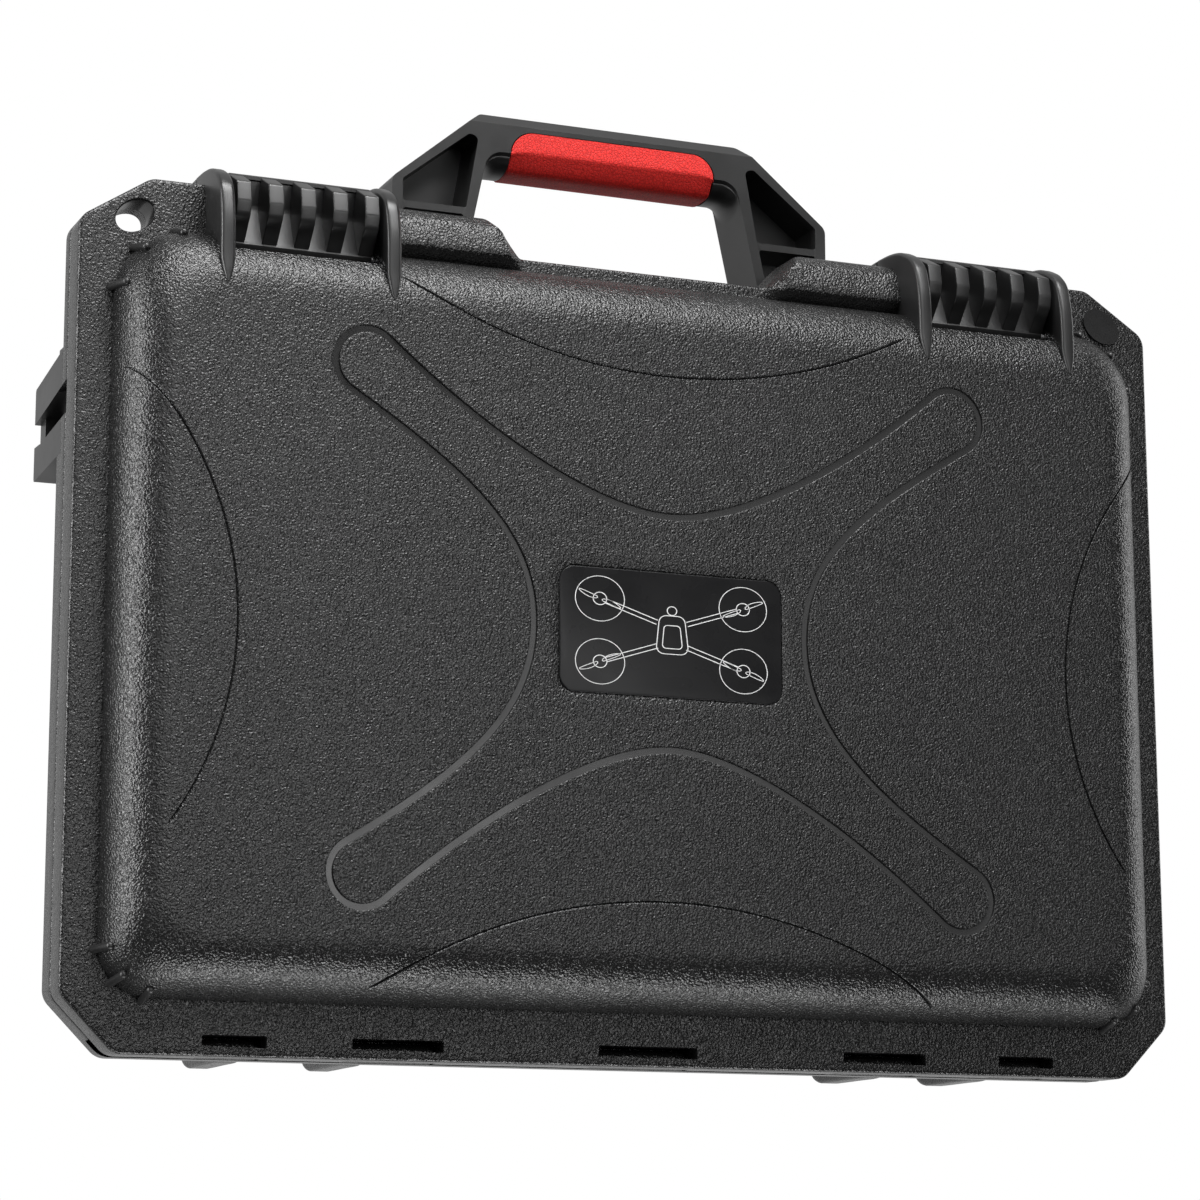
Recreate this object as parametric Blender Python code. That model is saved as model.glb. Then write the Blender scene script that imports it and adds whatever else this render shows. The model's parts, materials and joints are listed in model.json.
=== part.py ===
"""Drone carrying case: moulded clamshell with a fold-down handle, two hooked latches and foam inserts.

The case stands on its hinge side, as it is carried. +X is to the right of somebody who faces the lid,
+Y goes from the lid to the back, +Z is up. The lengths below are millimetres, measured from the lid
flange's front face and its centre: place() moves them into the part's frame, whose origin is at the
centre of the case's footprint, on the ground.
"""

import math

import bpy
import bmesh

# ---------------------------------------------------------------- driving dimensions, mm
FLANGE_W = 400.0        # flange width
FLANGE_H = 286.7        # flange height
TOP_CUT = (24.0, 15.6)  # corner cuts, across and down
BOTTOM_CUT = (18.0, 18.5)
CORNER_R = 7.0
LID_T = 11.5            # lid flange thickness
GAP = 0.3               # free space between touching pieces
BASE_Y = LID_T + GAP    # front of the base flange
FLANGE_BACK_TOP = 18.3  # back of the base flange above the strap lugs
FLANGE_BACK = 23.3      # back of the base flange below them
STEP_Z = 88.0
NOTCH_Z = 130.4         # floor of the notch under the handle
NOTCH_IN, NOTCH_OUT = 46.5, 58.0
DOME_H = 21.5           # raised face of the lid above its flange
DOME_X = 188.2          # foot of the raised face
DOME_TOP, DOME_BOTTOM = 125.0, -125.7
SHOULDER = 18.0
BODY_X, BODY_Z = 181.0, 121.0
BACK_Y = 106.0          # outer face of the base
FRONT_Y = -22.0         # guards' front edge
CAVITY_X, CAVITY_Z = 177.0, 117.5
HINGE_Y, HINGE_Z = 11.65, -140.15
KNUCKLE_R, RELIEF_R, PIN_R = 3.2, 5.1, 1.25
WINDOWS = ((-153.5, -132.0), (-103.5, -72.2), (-17.8, 17.8), (72.2, 103.5), (132.0, 153.5))
LATCH_X = 127.2         # centre of each latch
LATCH_HALF = 24.6
LATCH_Y, LATCH_Z = -6.5, 121.5  # latch pivot
GUARD_X = (98.7, 155.7)
GUARD_T = 5.0
HANDLE_Y, HANDLE_Z = 38.25, 133.5  # handle pivot
HANDLE_T = 22.5
HANDLE_TOP, BEAM_Z, BELLY_Z = 191.8, 177.8, 171.3
LOCK_HOLE = (181.4, 129.9, 7.0, 5.0)
LABEL = (40.4, 21.15, -1.3)

MID_Y = (FRONT_Y + BACK_Y) / 2
LOW_Z = -FLANGE_H / 2


def place(point):
    x, y, z = point
    return (x * 0.001, (y - MID_Y) * 0.001, (z - LOW_Z) * 0.001)


for old in list(bpy.data.objects):
    bpy.data.objects.remove(old)


# ---------------------------------------------------------------- materials
def material(name, colour, roughness, metallic=0.0):
    made = bpy.data.materials.new(name)
    made.use_nodes = True
    shader = made.node_tree.nodes["Principled BSDF"]
    shader.inputs["Base Color"].default_value = (*colour, 1.0)
    shader.inputs["Roughness"].default_value = roughness
    shader.inputs["Metallic"].default_value = metallic
    return made


SHELL = material("grained shell plastic", (0.045, 0.045, 0.046), 0.55)
SATIN = material("satin black plastic", (0.028, 0.028, 0.029), 0.42)
GRIP = material("red grip rubber", (0.62, 0.035, 0.03), 0.55)
LABEL_FILM = material("label film", (0.008, 0.008, 0.009), 0.35)
FOAM = material("foam", (0.03, 0.03, 0.032), 0.95)
SEAL = material("seal rubber", (0.12, 0.12, 0.12), 0.6)
STEEL = material("steel", (0.55, 0.55, 0.56), 0.3, 1.0)


# ---------------------------------------------------------------- shape helpers
def build(name, points, faces, mat):
    """An object with its origin at the centre of its box, so it turns and moves about a sensible point."""
    placed = [place(p) for p in points]
    centre = [(min(p[i] for p in placed) + max(p[i] for p in placed)) / 2 for i in range(3)]
    mesh = bpy.data.meshes.new(name)
    mesh.from_pydata([[p[i] - centre[i] for i in range(3)] for p in placed], [], faces)
    work = bmesh.new()
    work.from_mesh(mesh)
    bmesh.ops.recalc_face_normals(work, faces=work.faces)
    work.to_mesh(mesh)
    work.free()
    obj = bpy.data.objects.new(name, mesh)
    obj.location = centre
    bpy.context.scene.collection.objects.link(obj)
    if mat:
        mesh.materials.append(mat)
    return obj


def loft(name, rings, mat=None):
    """Closed solid through rings of equally many points, capped at both ends."""
    n = len(rings[0])
    points = [p for ring in rings for p in ring]
    faces = [list(range(n))[::-1], list(range(len(points) - n, len(points)))]
    for k in range(len(rings) - 1):
        for i in range(n):
            j = (i + 1) % n
            faces.append([k * n + i, k * n + j, (k + 1) * n + j, (k + 1) * n + i])
    return build(name, points, faces, mat)


def along_y(name, outline, y0, y1, mat=None):
    return loft(name, [[(x, y, z) for x, z in outline] for y in (y0, y1)], mat)


def along_x(name, profile, x0, x1, mat=None):
    return loft(name, [[(x, y, z) for y, z in profile] for x in (x0, x1)], mat)


def rod(name, y, z, radius, x0, x1, sides, mat=None):
    turn = [2 * math.pi * (k + 0.5) / sides for k in range(sides)]
    return along_x(name, [(y + radius * math.cos(a), z + radius * math.sin(a)) for a in turn], x0, x1, mat)


def rounded(corners, radius, steps=3):
    """The polygon with each corner replaced by an arc. radius is one number, or one for each corner."""
    radii = radius if isinstance(radius, (list, tuple)) else [radius] * len(corners)
    out = []
    for i, (px, pz) in enumerate(corners):
        ax, az = corners[i - 1]
        bx, bz = corners[(i + 1) % len(corners)]
        ua = math.atan2(az - pz, ax - px)
        ub = math.atan2(bz - pz, bx - px)
        half = abs((ub - ua + math.pi) % (2 * math.pi) - math.pi) / 2
        r = radii[i]
        if r <= 0:
            out.append((px, pz))
            continue
        cut = r / math.tan(half)
        bis = math.atan2(math.sin(ua) + math.sin(ub), math.cos(ua) + math.cos(ub))
        cx, cz = px + math.cos(bis) * r / math.sin(half), pz + math.sin(bis) * r / math.sin(half)
        sx, sz = px + math.cos(ua) * cut, pz + math.sin(ua) * cut
        ex, ez = px + math.cos(ub) * cut, pz + math.sin(ub) * cut
        a0, a1 = math.atan2(sz - cz, sx - cx), math.atan2(ez - cz, ex - cx)
        sweep = (a1 - a0 + math.pi) % (2 * math.pi) - math.pi
        for k in range(steps + 1):
            a = a0 + sweep * k / steps
            out.append((cx + r * math.cos(a), cz + r * math.sin(a)))
    return out


def box_outline(hx, top, bottom, r, steps=3):
    return rounded([(-hx, bottom), (hx, bottom), (hx, top), (-hx, top)], r, steps)


def boolean(obj, tool, operation):
    mod = obj.modifiers.new(tool.name, "BOOLEAN")
    mod.operation = operation
    mod.solver = "EXACT"
    mod.object = tool
    tool.hide_render = True
    tool.display_type = "WIRE"


def cut(obj, *tools):
    for tool in tools:
        boolean(obj, tool, "DIFFERENCE")


def add(obj, *tools):
    for tool in tools:
        boolean(obj, tool, "UNION")


def flange_outline():
    w, h = FLANGE_W / 2, FLANGE_H / 2
    corners = [
        (-w + BOTTOM_CUT[0], -h), (w - BOTTOM_CUT[0], -h), (w, -h + BOTTOM_CUT[1]),
        (w, h - TOP_CUT[1]), (w - TOP_CUT[0], h),
        (NOTCH_OUT, h), (NOTCH_IN, NOTCH_Z), (-NOTCH_IN, NOTCH_Z), (-NOTCH_OUT, h),
        (-w + TOP_CUT[0], h), (-w, h - TOP_CUT[1]), (-w, -h + BOTTOM_CUT[1]),
    ]
    radii = [CORNER_R] * 5 + [5.0, 4.0, 4.0, 5.0] + [CORNER_R] * 3
    return rounded(corners, radii, 2)


def ellipse(cx, cz, a, b, turn, sides=12):
    out = []
    for k in range(sides):
        t = 2 * math.pi * k / sides
        u, v = a * math.cos(t), b * math.sin(t)
        out.append((cx + u * math.cos(turn) - v * math.sin(turn), cz + u * math.sin(turn) + v * math.cos(turn)))
    return out


def lock_holes(tag):
    x, z, a, b = LOCK_HOLE
    turn = math.atan2(TOP_CUT[1], TOP_CUT[0])
    return (
        along_y(f"cut_lock_left_{tag}", ellipse(-x, z, a, b, turn), -1.0, 26.0),
        along_y(f"cut_lock_right_{tag}", ellipse(x, z, a, b, -turn), -1.0, 26.0),
    )


# ---------------------------------------------------------------- lid shell
def dome_rings():
    """Sections of the raised face: a quarter ellipse from its foot to its flat front."""
    rings = [[(x, 2.0, z) for x, z in box_outline(DOME_X, DOME_TOP, DOME_BOTTOM, 19.0, 4)]]
    for turn in (0, 18, 36, 54, 72, 90):
        a = math.radians(turn)
        inset, rise = SHOULDER * (1 - math.cos(a)), DOME_H * math.sin(a)
        ring = box_outline(DOME_X - inset, DOME_TOP - inset * 1.2, DOME_BOTTOM + inset, 19.0, 4)
        rings.append([(x, -rise, z) for x, z in ring])
    return rings


GUARD_FRONT = ((-22.0, 105.3), (-21.5, 114.0), (-21.3, 124.0), (-20.5, 131.0), (-18.5, 138.0), (-14.5, 142.5), (-11.0, 144.8), (-5.0, 147.5), (2.5, 148.7))

lid = along_y("lid_shell", flange_outline(), 0.0, LID_T, SHELL)
add(lid, loft("add_dome", dome_rings()))
for side in (-1, 1):
    for gx in GUARD_X:
        profile = list(GUARD_FRONT) + [(LID_T - 0.3, 149.1), (LID_T - 0.3, 132.0), (2.0, 118.0), (-12.0, 104.0)]
        lo = side * gx - GUARD_T / 2
        add(lid, along_x(f"add_guard_{side}_{gx}", profile, lo, lo + GUARD_T))
    # raised pads beside the notch, in front of the handle's feet
    inner = [(side * 50.0, 124.0), (side * 61.0, 143.0), (side * 97.5, 143.0), (side * 97.5, 122.0)]
    outer = [(side * 54.0, 124.0), (side * 58.5, 139.3), (side * 97.5, 139.3), (side * 97.5, 122.0)]
    add(lid, loft(f"add_pad_{side}", [[(x, 2.0, z) for x, z in inner], [(x, 0.0, z) for x, z in inner], [(x, -4.0, z) for x, z in outer]]))
for k, (x0, x1) in enumerate([(-161.0, WINDOWS[0][0])] + [(WINDOWS[i][1], WINDOWS[i + 1][0]) for i in range(4)] + [(WINDOWS[4][1], 161.0)]):
    add(lid, rod(f"add_lid_knuckle_{k}", HINGE_Y, HINGE_Z, KNUCKLE_R, x0, x1, 12))
cut(lid, loft("cut_lid_cavity", [
    [(x, y, z) for x, z in box_outline(hx, hz, -hz, 17.0)]
    for y, hx, hz in ((LID_T + 1.0, CAVITY_X, CAVITY_Z), (-10.0, 176.0, 116.5), (-18.3, 169.0, 108.0))
]))
for k, (x0, x1) in enumerate(WINDOWS):
    cut(lid, rod(f"cut_lid_knuckle_{k}", HINGE_Y, HINGE_Z, RELIEF_R, x0, x1, 12))
    cut(lid, along_y(f"cut_window_{k}", [(x0, -140.35), (x1, -140.35), (x1, -136.5), (x0, -136.5)], -1.0, LID_T + 1.0))
cut(lid, rod("cut_lid_hinge_bore", HINGE_Y, HINGE_Z, PIN_R + 0.35, -157.6, 157.6, 8))
cut(lid, *lock_holes("lid"))
for side in (-1, 1):
    x0, x1 = side * LATCH_X - 25.9, side * LATCH_X + 25.9
    cut(lid, along_x(f"cut_latch_pocket_{side}", ((-2.6, 126.0), (-2.6, 118.0), (-9.8, 118.0), (-10.5, 119.3), (-30.0, 119.3), (-30.0, 126.0)), x0, x1))
    cut(lid, rod(f"cut_latch_bore_{side}", LATCH_Y, LATCH_Z, 1.65, side * LATCH_X - 31.0, side * LATCH_X + 31.0, 8))
lx, lz, lc = LABEL
cut(lid, along_y("cut_label_recess", box_outline(lx + 0.3, lc + lz + 0.3, lc - lz - 0.3, 5.8), -DOME_H - 1.0, -DOME_H + 0.8))

label = along_y("label_plate", box_outline(lx, lc + lz, lc - lz, 5.5), -DOME_H - 0.3, -DOME_H + 0.5, LABEL_FILM)

# ---------------------------------------------------------------- base shell
base = along_y("base_shell", flange_outline(), BASE_Y, FLANGE_BACK_TOP, SHELL)
lower = rounded([(-182.0, LOW_Z), (182.0, LOW_Z), (200.0, LOW_Z + 18.5), (200.0, STEP_Z), (-200.0, STEP_Z), (-200.0, LOW_Z + 18.5)], [CORNER_R, CORNER_R, CORNER_R, 0, 0, CORNER_R], 2)
add(base, along_y("add_lower_flange", lower, FLANGE_BACK_TOP - 1.5, FLANGE_BACK))
add(base, loft("add_body", [
    [(x, y, z) for x, z in box_outline(hx, hz, -hz, 20.0, 4)]
    for y, hx, hz in ((15.0, BODY_X, BODY_Z), (98.0, 178.8, 118.8), (103.5, 176.5, 116.5), (BACK_Y, 171.0, 111.0))
]))
for side in (-1, 1):
    face, inner = side * 200.0, side * 176.0
    arms = ((20.0, 87.0), (54.0, 81.9), (54.2, 50.2), (20.0, 52.0))
    add(base, along_x(f"add_lug_{side}", arms, min(face, inner), max(face, inner)))
    # slot through which the strap passes, in front of the bar that holds it
    slot = ((13.2, 75.4), (47.0, 70.7), (47.0, 61.4), (13.2, 64.4))
    far = side * 183.5
    cut(base, along_x(f"cut_strap_slot_{side}", slot, min(side * 202.0, far), max(side * 202.0, far)))
    behind = ((30.0, 73.0), (56.0, 69.6), (56.0, 61.9), (30.0, 62.9))
    edge = side * 192.0
    cut(base, along_x(f"cut_strap_path_{side}", behind, min(edge, far), max(edge, far)))
    edge = side * 198.0
    cut(base, along_x(f"cut_bar_face_{side}", ((45.0, 70.9), (56.0, 69.6), (56.0, 61.9), (45.0, 61.6)), min(edge, side * 202.0), max(edge, side * 202.0)))
    # feet below the body: two ribs and a thin web between them
    foot = ((20.0, -119.0), (20.0, -141.0), (27.0, LOW_Z), (60.0, LOW_Z), (65.0, -141.0), (68.0, -134.0), (71.0, -118.0))
    for x0, x1 in ((133.0, 142.0), (91.0, 100.0)):
        add(base, along_x(f"add_foot_{side}_{x0}", foot, min(side * x0, side * x1), max(side * x0, side * x1)))
    web = ((20.0, -119.0), (20.0, -138.0), (58.0, -138.0), (66.0, -118.0))
    add(base, along_x(f"add_foot_web_{side}", web, side * 116.5 - 1.5, side * 116.5 + 1.5))
    # lugs for the handle's pins
    for x0, x1 in ((48.8, 53.8), (84.2, 90.0)):
        arc = [(HANDLE_Y + 5.5 * math.cos(math.radians(a)), HANDLE_Z + 5.5 * math.sin(math.radians(a))) for a in (180, 144, 108, 72, 36, 0)]
        add(base, along_x(f"add_handle_lug_{side}_{x0}", [(28.0, 119.0), (30.0, 128.0)] + arc + [(46.5, 128.0), (50.0, 119.0)], min(side * x0, side * x1), max(side * x0, side * x1)))
    # guards behind the latch hooks
    for gx in GUARD_X:
        lo = side * gx - GUARD_T / 2
        add(base, along_x(f"add_back_guard_{side}_{gx}", ((BASE_Y, 130.0), (BASE_Y, 149.1), (20.0, 149.1), (27.0, 146.0), (44.0, 119.0), (14.0, 119.0)), lo, lo + GUARD_T))
cut(base, rod("cut_hinge_relief", HINGE_Y, HINGE_Z, RELIEF_R, -187.0, 187.0, 16))
for k, (x0, x1) in enumerate(WINDOWS):
    add(base, rod(f"add_base_knuckle_{k}", HINGE_Y, HINGE_Z, KNUCKLE_R, x0 + 0.35, x1 - 0.35, 12))
    add(base, along_x(f"add_knuckle_web_{k}", ((HINGE_Y + 0.4, LOW_Z + 0.1), (19.5, LOW_Z + 0.1), (19.5, -137.0), (HINGE_Y + 0.4, -137.0)), x0 + 0.35, x1 - 0.35))
cut(base, rod("cut_base_hinge_bore", HINGE_Y, HINGE_Z, PIN_R + 0.35, -157.6, 157.6, 8))
cut(base, loft("cut_base_cavity", [
    [(x, y, z) for x, z in box_outline(hx, hz, -hz, 17.0)]
    for y, hx, hz in ((BASE_Y - 1.0, CAVITY_X, CAVITY_Z), (99.0, 174.8, 115.3), (103.0, 171.0, 111.0))
]))
cut(base, *lock_holes("base"))
for side in (-1, 1):
    cut(base, rod(f"cut_handle_bore_{side}", HANDLE_Y, HANDLE_Z, 2.85, side * 69.75 - 22.0, side * 69.75 + 22.0, 12))


def ring_y(name, outer, inner, y0, y1, mat=None):
    """A closed ring between two outlines of equally many points."""
    n = len(outer)
    points = [(x, y, z) for outline in (outer, inner) for y in (y0, y1) for x, z in outline]
    faces = []
    for i in range(n):
        j = (i + 1) % n
        o0, o1, i0, i1 = 0, n, 2 * n, 3 * n
        faces += [[o0 + i, o0 + j, o1 + j, o1 + i], [i0 + j, i0 + i, i1 + i, i1 + j],
                  [o0 + j, o0 + i, i0 + i, i0 + j], [o1 + i, o1 + j, i1 + j, i1 + i]]
    return build(name, points, faces, mat)


def seal_outline(offset):
    return box_outline(181.0 + offset, 121.7 + offset, -121.7 - offset, 22.0 + offset, 4)


cut(base, ring_y("cut_seal_groove", seal_outline(2.0), seal_outline(-2.0), BASE_Y - 1.0, BASE_Y + 2.8))
seal = ring_y("lid_seal", seal_outline(1.6), seal_outline(-1.6), BASE_Y - 0.05, BASE_Y + 2.4, SEAL)

# ---------------------------------------------------------------- pins
hinge_left = rod("hinge_pin_left", HINGE_Y, HINGE_Z, PIN_R, -157.0, -0.5, 10, STEEL)
hinge_right = rod("hinge_pin_right", HINGE_Y, HINGE_Z, PIN_R, 0.5, 157.0, 10, STEEL)
for side, name in ((-1, "left"), (1, "right")):
    rod(f"latch_pin_{name}", LATCH_Y, LATCH_Z, 1.3, side * LATCH_X - 30.4, side * LATCH_X + 30.4, 10, STEEL)
    rod(f"handle_pin_{name}", HANDLE_Y, HANDLE_Z, 2.5, side * 69.75 - 20.0, side * 69.75 + 20.0, 12, STEEL)

# ---------------------------------------------------------------- latches
barrel = [(LATCH_Y + 3.0 * math.cos(math.radians(a)), LATCH_Z + 3.0 * math.sin(math.radians(a))) for a in (165, 200, 235, 270, 305, 340, 15)]
PLATE = [(18.0, 143.8), (18.0, 147.0), (-4.6, 146.4), (-6.4, 144.3), (-8.0, 125.0)] + barrel + [(-2.2, 126.6), (-0.6, 129.0), (-0.6, 143.8)]
RIB = [(-3.5, 146.2), (-5.0, 145.9), (-8.0, 144.1), (-12.1, 140.8), (-15.6, 136.8), (-16.8, 133.6), (-16.2, 130.3), (-14.2, 128.0), (-9.7, 123.0), (-6.0, 123.0), (-4.0, 135.0)]
for side, name in ((-1, "left"), (1, "right")):
    mid = side * LATCH_X
    latch = along_x(f"latch_{name}", PLATE, mid - LATCH_HALF, mid + LATCH_HALF, SATIN)
    for k in range(5):
        x = mid + (k - 2) * 11.1
        lo, hi = x - 2.45, x + 2.45
        if k == 0:
            lo = mid - LATCH_HALF - 0.02
        if k == 4:
            hi = mid + LATCH_HALF + 0.02
        add(latch, along_x(f"add_rib_{name}_{k}", RIB, lo, hi))
    cut(latch, rod(f"cut_latch_{name}_bore", LATCH_Y, LATCH_Z, 1.65, mid - 27.0, mid + 27.0, 8))

# ---------------------------------------------------------------- handle
HY0, HY1 = HANDLE_Y - HANDLE_T / 2, HANDLE_Y + HANDLE_T / 2
frame = along_y("handle_frame", rounded([(-83.4, HANDLE_Z), (83.4, HANDLE_Z), (83.4, 163.5), (49.5, HANDLE_TOP), (-49.5, HANDLE_TOP), (-83.4, 163.5)], [0, 0, 5, 2, 2, 5], 2), HY0, HY1, SATIN)
for y, s in ((HY0, 1), (HY1, -1)):
    wedge = ((y - s * 0.5, HANDLE_TOP - 4.7), (y + s * 4.7, HANDLE_TOP + 0.5), (y - s * 0.5, HANDLE_TOP + 0.5))
    cut(frame, along_x(f"cut_handle_edge_{s}", wedge, -60.0, 60.0))


def window_side(z):
    return 49.9 + (167.3 - z) * 0.21


opening = [(HY0 - 2, 110.0), (HY0 - 2, BEAM_Z), (HY0, BEAM_Z), (HY0 + 4.5, 173.3), (HANDLE_Y, BELLY_Z), (HY1 - 4.5, 173.3), (HY1, BEAM_Z), (HY1 + 2, BEAM_Z), (HY1 + 2, 110.0)]
cut(frame, loft("cut_handle_opening", [[(s * window_side(z), y, z) for y, z in opening] for s in (-1, 1)]))
for side in (-1, 1):
    lo, hi = sorted((side * 57.3, side * 83.35))
    foot = rod(f"add_handle_foot_{side}", HANDLE_Y, HANDLE_Z, HANDLE_T / 2 - 0.05, lo, hi, 16)
    add(frame, foot)
    pocket = rounded([(side * 56.0, 155.4), (side * 79.4, 155.4), (side * 79.4, 163.4), (side * 54.8, 182.8), (side * 51.4, 181.8)], [0.8, 0.8, 1.5, 2.0, 2.0], 2)
    cut(frame, along_y(f"cut_handle_pocket_{side}", pocket, HY0 - 1, HY0 + 17.0))
    low = [(side * 59.0, 141.5), (side * 79.4, 141.5), (side * 79.4, 152.9), (side * 56.6, 152.9)]
    cut(frame, along_y(f"cut_handle_low_pocket_{side}", low, HY0 - 1, HY0 + 17.0))
    cut(frame, rod(f"cut_handle_frame_bore_{side}", HANDLE_Y, HANDLE_Z, 2.85, side * 69.75 - 18.0, side * 69.75 + 18.0, 12))
GRIP_HALF, GRIP_TOP = 39.0, 185.6
seat = [(HY0 - 2, GRIP_TOP + 0.3), (HY0 + 2, GRIP_TOP + 0.3), (HY0 + 2, 178.9), (HY0 + 5.7, 175.1), (HANDLE_Y, 173.6), (HY1 - 5.7, 175.1), (HY1 - 2, 178.9), (HY1 - 2, GRIP_TOP + 0.3), (HY1 + 2, GRIP_TOP + 0.3), (HY1 + 2, 165.0), (HY0 - 2, 165.0)]
cut(frame, along_x("cut_grip_seat", seat, -GRIP_HALF - 0.3, GRIP_HALF + 0.3))
skin = [(HY0, GRIP_TOP), (HY0 + 1.7, GRIP_TOP), (HY0 + 1.7, 178.7), (HY0 + 5.5, 174.8), (HANDLE_Y, 173.25), (HY1 - 5.5, 174.8), (HY1 - 1.7, 178.7), (HY1 - 1.7, GRIP_TOP), (HY1, GRIP_TOP), (HY1, BEAM_Z), (HY1 - 4.5, 173.3), (HANDLE_Y, BELLY_Z), (HY0 + 4.5, 173.3), (HY0, BEAM_Z)]
grip = along_x("handle_grip", skin, -GRIP_HALF, GRIP_HALF, GRIP)

# ---------------------------------------------------------------- foam
lid_foam = along_y("lid_foam", box_outline(168.0, 107.0, -107.0, 15.0), -17.8, 9.0, FOAM)
pad = along_y("base_foam_pad", box_outline(170.0, 110.0, -110.0, 14.0), 92.4, 102.4, FOAM)
block = along_y("base_foam_block", box_outline(173.8, 114.3, -114.3, 15.0), 14.0, 92.0, FOAM)
POCKETS = (  # name, x from, x to, z from, z to, depth
    ("controller", -162.0, 14.0, 12.0, 102.0, 50.0),
    ("aircraft", -162.0, -12.0, -102.0, -2.0, 64.0),
    ("battery_1", 30.0, 68.0, 22.0, 102.0, 56.0),
    ("battery_2", 78.0, 116.0, 22.0, 102.0, 56.0),
    ("battery_3", 126.0, 164.0, 22.0, 102.0, 56.0),
    ("charger", 4.0, 84.0, -102.0, -14.0, 44.0),
    ("spares", 100.0, 164.0, -102.0, 4.0, 40.0),
)
for name, x0, x1, z0, z1, deep in POCKETS:
    outline = rounded([(x0, z0), (x1, z0), (x1, z1), (x0, z1)], 7.0, 2)
    cut(block, along_y(f"cut_{name}", outline, 12.0, 14.0 + deep))

for obj in bpy.data.objects:
    if obj.type == "MESH" and not obj.hide_render:
        obj.data.shade_smooth()
        obj.data.set_sharp_from_angle(angle=math.radians(30))

# each moving piece's origin is on its joint's axis
PIVOTS = {
    "lid_shell": (0.0, HINGE_Y, HINGE_Z),
    "latch_left": (-LATCH_X, LATCH_Y, LATCH_Z),
    "latch_right": (LATCH_X, LATCH_Y, LATCH_Z),
    "handle_frame": (0.0, HANDLE_Y, HANDLE_Z),
}
for name, point in PIVOTS.items():
    obj = bpy.data.objects[name]
    target = place(point)
    shift = [obj.location[i] - target[i] for i in range(3)]
    for vertex in obj.data.vertices:
        vertex.co.x += shift[0]
        vertex.co.y += shift[1]
        vertex.co.z += shift[2]
    obj.location = target
PARENTS = {
    "lid_shell": ("label_plate", "lid_foam", "latch_pin_left", "latch_pin_right", "latch_left", "latch_right"),
    "handle_frame": ("handle_grip",),
    "base_shell": ("base_foam_block", "base_foam_pad", "lid_seal", "hinge_pin_left", "hinge_pin_right", "handle_pin_left", "handle_pin_right"),
}
for parent, children in PARENTS.items():
    for child in children:
        bpy.data.objects[child].parent = bpy.data.objects[parent]
        bpy.data.objects[child].location = [
            bpy.data.objects[child].location[i] - bpy.data.objects[parent].location[i] for i in range(3)
        ]
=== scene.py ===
"""Looks of the drone carrying case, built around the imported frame.

Lengths in the shape code are millimetres, from the lid flange's front face and centre: spot() moves
them into the part's frame in metres. +X is right, +Y runs from the lid to the back, +Z is up.
"""

import json
import math

import bmesh
import bpy
import numpy as np
from mathutils import Matrix, Vector, geometry, kdtree

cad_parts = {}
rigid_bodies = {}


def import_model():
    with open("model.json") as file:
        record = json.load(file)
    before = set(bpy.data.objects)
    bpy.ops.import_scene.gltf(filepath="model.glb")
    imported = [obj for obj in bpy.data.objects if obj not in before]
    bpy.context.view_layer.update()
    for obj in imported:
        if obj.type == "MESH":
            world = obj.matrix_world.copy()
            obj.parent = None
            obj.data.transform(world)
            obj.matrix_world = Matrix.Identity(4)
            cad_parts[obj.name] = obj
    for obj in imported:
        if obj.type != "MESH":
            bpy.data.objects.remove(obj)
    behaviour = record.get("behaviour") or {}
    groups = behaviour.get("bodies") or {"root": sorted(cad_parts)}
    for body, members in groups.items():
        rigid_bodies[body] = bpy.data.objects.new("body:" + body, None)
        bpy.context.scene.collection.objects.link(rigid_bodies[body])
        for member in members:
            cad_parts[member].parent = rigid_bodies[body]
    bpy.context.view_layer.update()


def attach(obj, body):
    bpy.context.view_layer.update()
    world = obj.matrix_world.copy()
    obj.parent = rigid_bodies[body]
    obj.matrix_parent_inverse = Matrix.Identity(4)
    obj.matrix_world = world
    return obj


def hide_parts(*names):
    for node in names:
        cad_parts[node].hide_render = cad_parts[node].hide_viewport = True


for old in list(bpy.data.objects):
    bpy.data.objects.remove(old)
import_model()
SCENE = bpy.context.scene

# ------------------------------------------------------------------ dimensions, mm
W, H = 400.0, 286.7
TOP_CUT, BOTTOM_CUT = (24.0, 15.6), (18.0, 18.5)
LID_T, BASE_Y = 11.5, 11.8
NOTCH_Z = 130.4
DOME_H = 21.5
BACK_Y = 106.0
HINGE_Y, HINGE_Z, RELIEF_R, KNUCKLE_R = 11.65, -140.15, 5.1, 3.2
WINDOWS = ((-153.5, -132.0), (-103.5, -72.2), (-17.8, 17.8), (72.2, 103.5), (132.0, 153.5))
LATCH_X, LATCH_HALF, LATCH_Y, LATCH_Z = 127.2, 24.6, -6.5, 121.5
GUARD_X = (98.7, 155.7)
HANDLE_Y, HANDLE_Z, HANDLE_T = 38.25, 133.5, 22.5
LABEL = (40.4, 21.15, -1.3)
LOW_Z = -H / 2


def spot(x, y, z):
    return Vector((x * 0.001, (y - 42.0) * 0.001, (z - LOW_Z) * 0.001))


# ------------------------------------------------------------------ material helpers
def new_material(name):
    mat = bpy.data.materials.new(name)
    mat.use_nodes = True
    tree = mat.node_tree
    shader = tree.nodes["Principled BSDF"]
    return mat, tree, shader


def coords(tree, scale=(1, 1, 1)):
    tex = tree.nodes.new("ShaderNodeTexCoord")
    mapping = tree.nodes.new("ShaderNodeMapping")
    mapping.inputs["Scale"].default_value = scale
    tree.links.new(tex.outputs["Object"], mapping.inputs["Vector"])
    return mapping.outputs["Vector"]


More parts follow.
